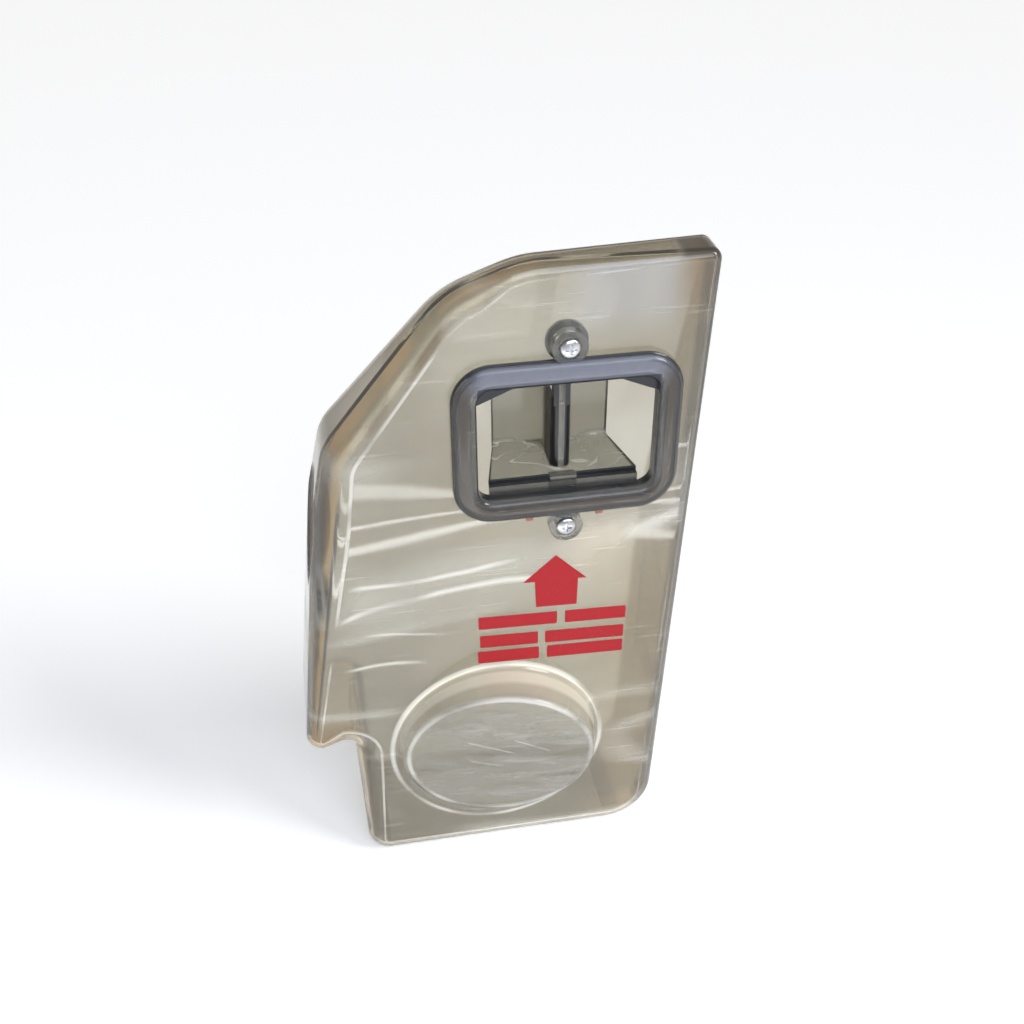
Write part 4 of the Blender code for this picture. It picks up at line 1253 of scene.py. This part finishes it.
def make_print(material):
    outward = Vector((0.0, -PRINT_THICKNESS, 0.0))
    arrow = plate([Vector((x, -PRINT_LIFT, z)) for x, z in ARROW], outward)
    finished(draft("arrow_print", arrow), material)
    bars = bmesh.new()
    for left_x, left_z, right_x, right_z in BARS:
        half = BAR_HEIGHT / 2.0
        corners = [(left_x, left_z - half, BAR_CORNER, 0.0), (right_x, right_z - half, BAR_CORNER, 0.0),
                   (right_x, right_z + half, BAR_CORNER, 0.0), (left_x, left_z + half, BAR_CORNER, 0.0)]
        one = plate([Vector((x, -PRINT_LIFT, z)) for x, z, _, _, _, _ in rounded_path(corners)], outward)
        mesh = bpy.data.meshes.new("bar")
        one.to_mesh(mesh)
        one.free()
        bars.from_mesh(mesh)
        bpy.data.meshes.remove(mesh)
    finished(draft("bar_print", bars), material)


# Studio

WHITE = (1.0, 1.0, 1.0)
BLACK = (0.0, 0.0, 0.0)
FLOOR_HALF_SIDE = 6.0
FLOOR_COLOUR = (0.70, 0.70, 0.70)
FLOOR_SEEN_COLOUR = (0.96, 0.96, 0.96)
FLOOR_SEEN_GLOW = (0.37, 0.37, 0.37)
FLOOR_ROUGHNESS = 0.9
SKY_CHANGE = (-0.05, 0.55)
SKY_LOW = (0.68, 0.68, 0.68)
SKY_HIGH = (0.20, 0.20, 0.205)
SKY_SEEN = (0.95, 0.95, 0.95)
SUN_PLACE = (1.6, -0.9, 1.5)
SUN_AIM = (0.0, 0.0, 0.15)
SUN_STRENGTH = 1.75
SUN_ANGLE = math.radians(24.0)
LAMP_AIM_LEFT = 0.03
LAMP_AIM_HEIGHT = 0.19
LAMPS = (
    # name, place, power, size, colour
    ("window", (0.12, -1.00, 0.95), 8.6, (0.90, 0.75), (0.78, 0.86, 1.0)),
    ("low_strip_near", (-0.02, -0.300, 0.012), 0.13, (0.70, 0.006), WHITE),
    ("low_strip_middle", (-0.02, -0.345, 0.012), 0.13, (0.70, 0.006), WHITE),
    ("low_strip_far", (-0.02, -0.42, 0.012), 0.16, (0.70, 0.010), WHITE),
)
CAMERA_PLACE = (-0.10808, -0.47442, 0.57543)
CAMERA_TURN = math.radians(-9.8)
CAMERA_TILT = math.radians(55.0)
CAMERA_ROLL = math.radians(-0.4)
CAMERA_LENS = 42.1875
CAMERA_SENSOR_WIDTH = 36.0
CAMERA_NEAREST = 0.01


def make_floor():
    mesh_data = bmesh.new()
    bmesh.ops.create_grid(mesh_data, x_segments=1, y_segments=1, size=FLOOR_HALF_SIDE)
    made = draft("studio_floor", mesh_data)
    finish = Finish("studio_floor_white")
    seen = finish.seen_by("Is Camera Ray", "Is Transmission Ray", "Is Glossy Ray")
    colour = finish.blend(seen, FLOOR_COLOUR, FLOOR_SEEN_COLOUR)
    glow = finish.blend(seen, BLACK, FLOOR_SEEN_GLOW)
    surface = finish.surface(base_color=colour, roughness=FLOOR_ROUGHNESS, specular_ior_level=0.0,
                             emission_color=glow, emission_strength=1.0)
    made.data.materials.append(finish.done(surface))


def make_lamp(name, kind, place, target, power, colour=WHITE):
    lamp = bpy.data.lights.new(name, kind)
    lamp.energy = power
    lamp.color = colour
    made = bpy.data.objects.new(name, lamp)
    bpy.context.scene.collection.objects.link(made)
    made.location = place
    made.rotation_euler = (Vector(target) - Vector(place)).to_track_quat("-Z", "Y").to_euler()
    made.visible_camera = False
    made.visible_transmission = False
    return lamp


def make_sky():
    sky = Finish("studio_sky", sky=True)
    height = sky.axes("Generated")[2]
    colour = sky.blend(height.rising(*SKY_CHANGE), SKY_LOW, SKY_HIGH)
    colour = sky.blend(sky.seen_by("Is Camera Ray", "Is Transmission Ray"), colour, SKY_SEEN)
    sky.done(sky.node("ShaderNodeBackground", {}, {"Color": colour, "Strength": 1.0}))
    bpy.context.scene.world = sky.material


def make_camera():
    camera = bpy.data.objects.new("camera", bpy.data.cameras.new("camera"))
    bpy.context.scene.collection.objects.link(camera)
    camera.data.lens = CAMERA_LENS
    camera.data.sensor_width = CAMERA_SENSOR_WIDTH
    camera.data.clip_start = CAMERA_NEAREST
    camera.location = Vector(CAMERA_PLACE) + SHIFT
    turned = (Matrix.Rotation(CAMERA_TURN, 4, "Z") @ Matrix.Rotation(CAMERA_TILT, 4, "X")
              @ Matrix.Rotation(CAMERA_ROLL, 4, "Z"))
    camera.rotation_euler = turned.to_euler()
    bpy.context.scene.camera = camera


def make_studio():
    make_sky()
    make_floor()
    sun = make_lamp("key", "SUN", SUN_PLACE, SUN_AIM, SUN_STRENGTH)
    sun.angle = SUN_ANGLE
    aim = Vector((SHIFT.x - LAMP_AIM_LEFT, SHIFT.y, LAMP_AIM_HEIGHT))
    for name, place, power, size, colour in LAMPS:
        lamp = make_lamp(name, "AREA", place, aim, power, colour)
        lamp.shape = "RECTANGLE"
        lamp.size, lamp.size_y = size
    make_camera()
    bpy.context.scene.view_settings.view_transform = "Standard"


make_tank(clear_tank_finish())
make_spout_frame(smoked_frame_finish())
make_seal(red_rubber_finish())
make_baffle(smoked_baffle_finish())
make_screws(zinc_finish())
make_print(red_print_finish())
make_studio()
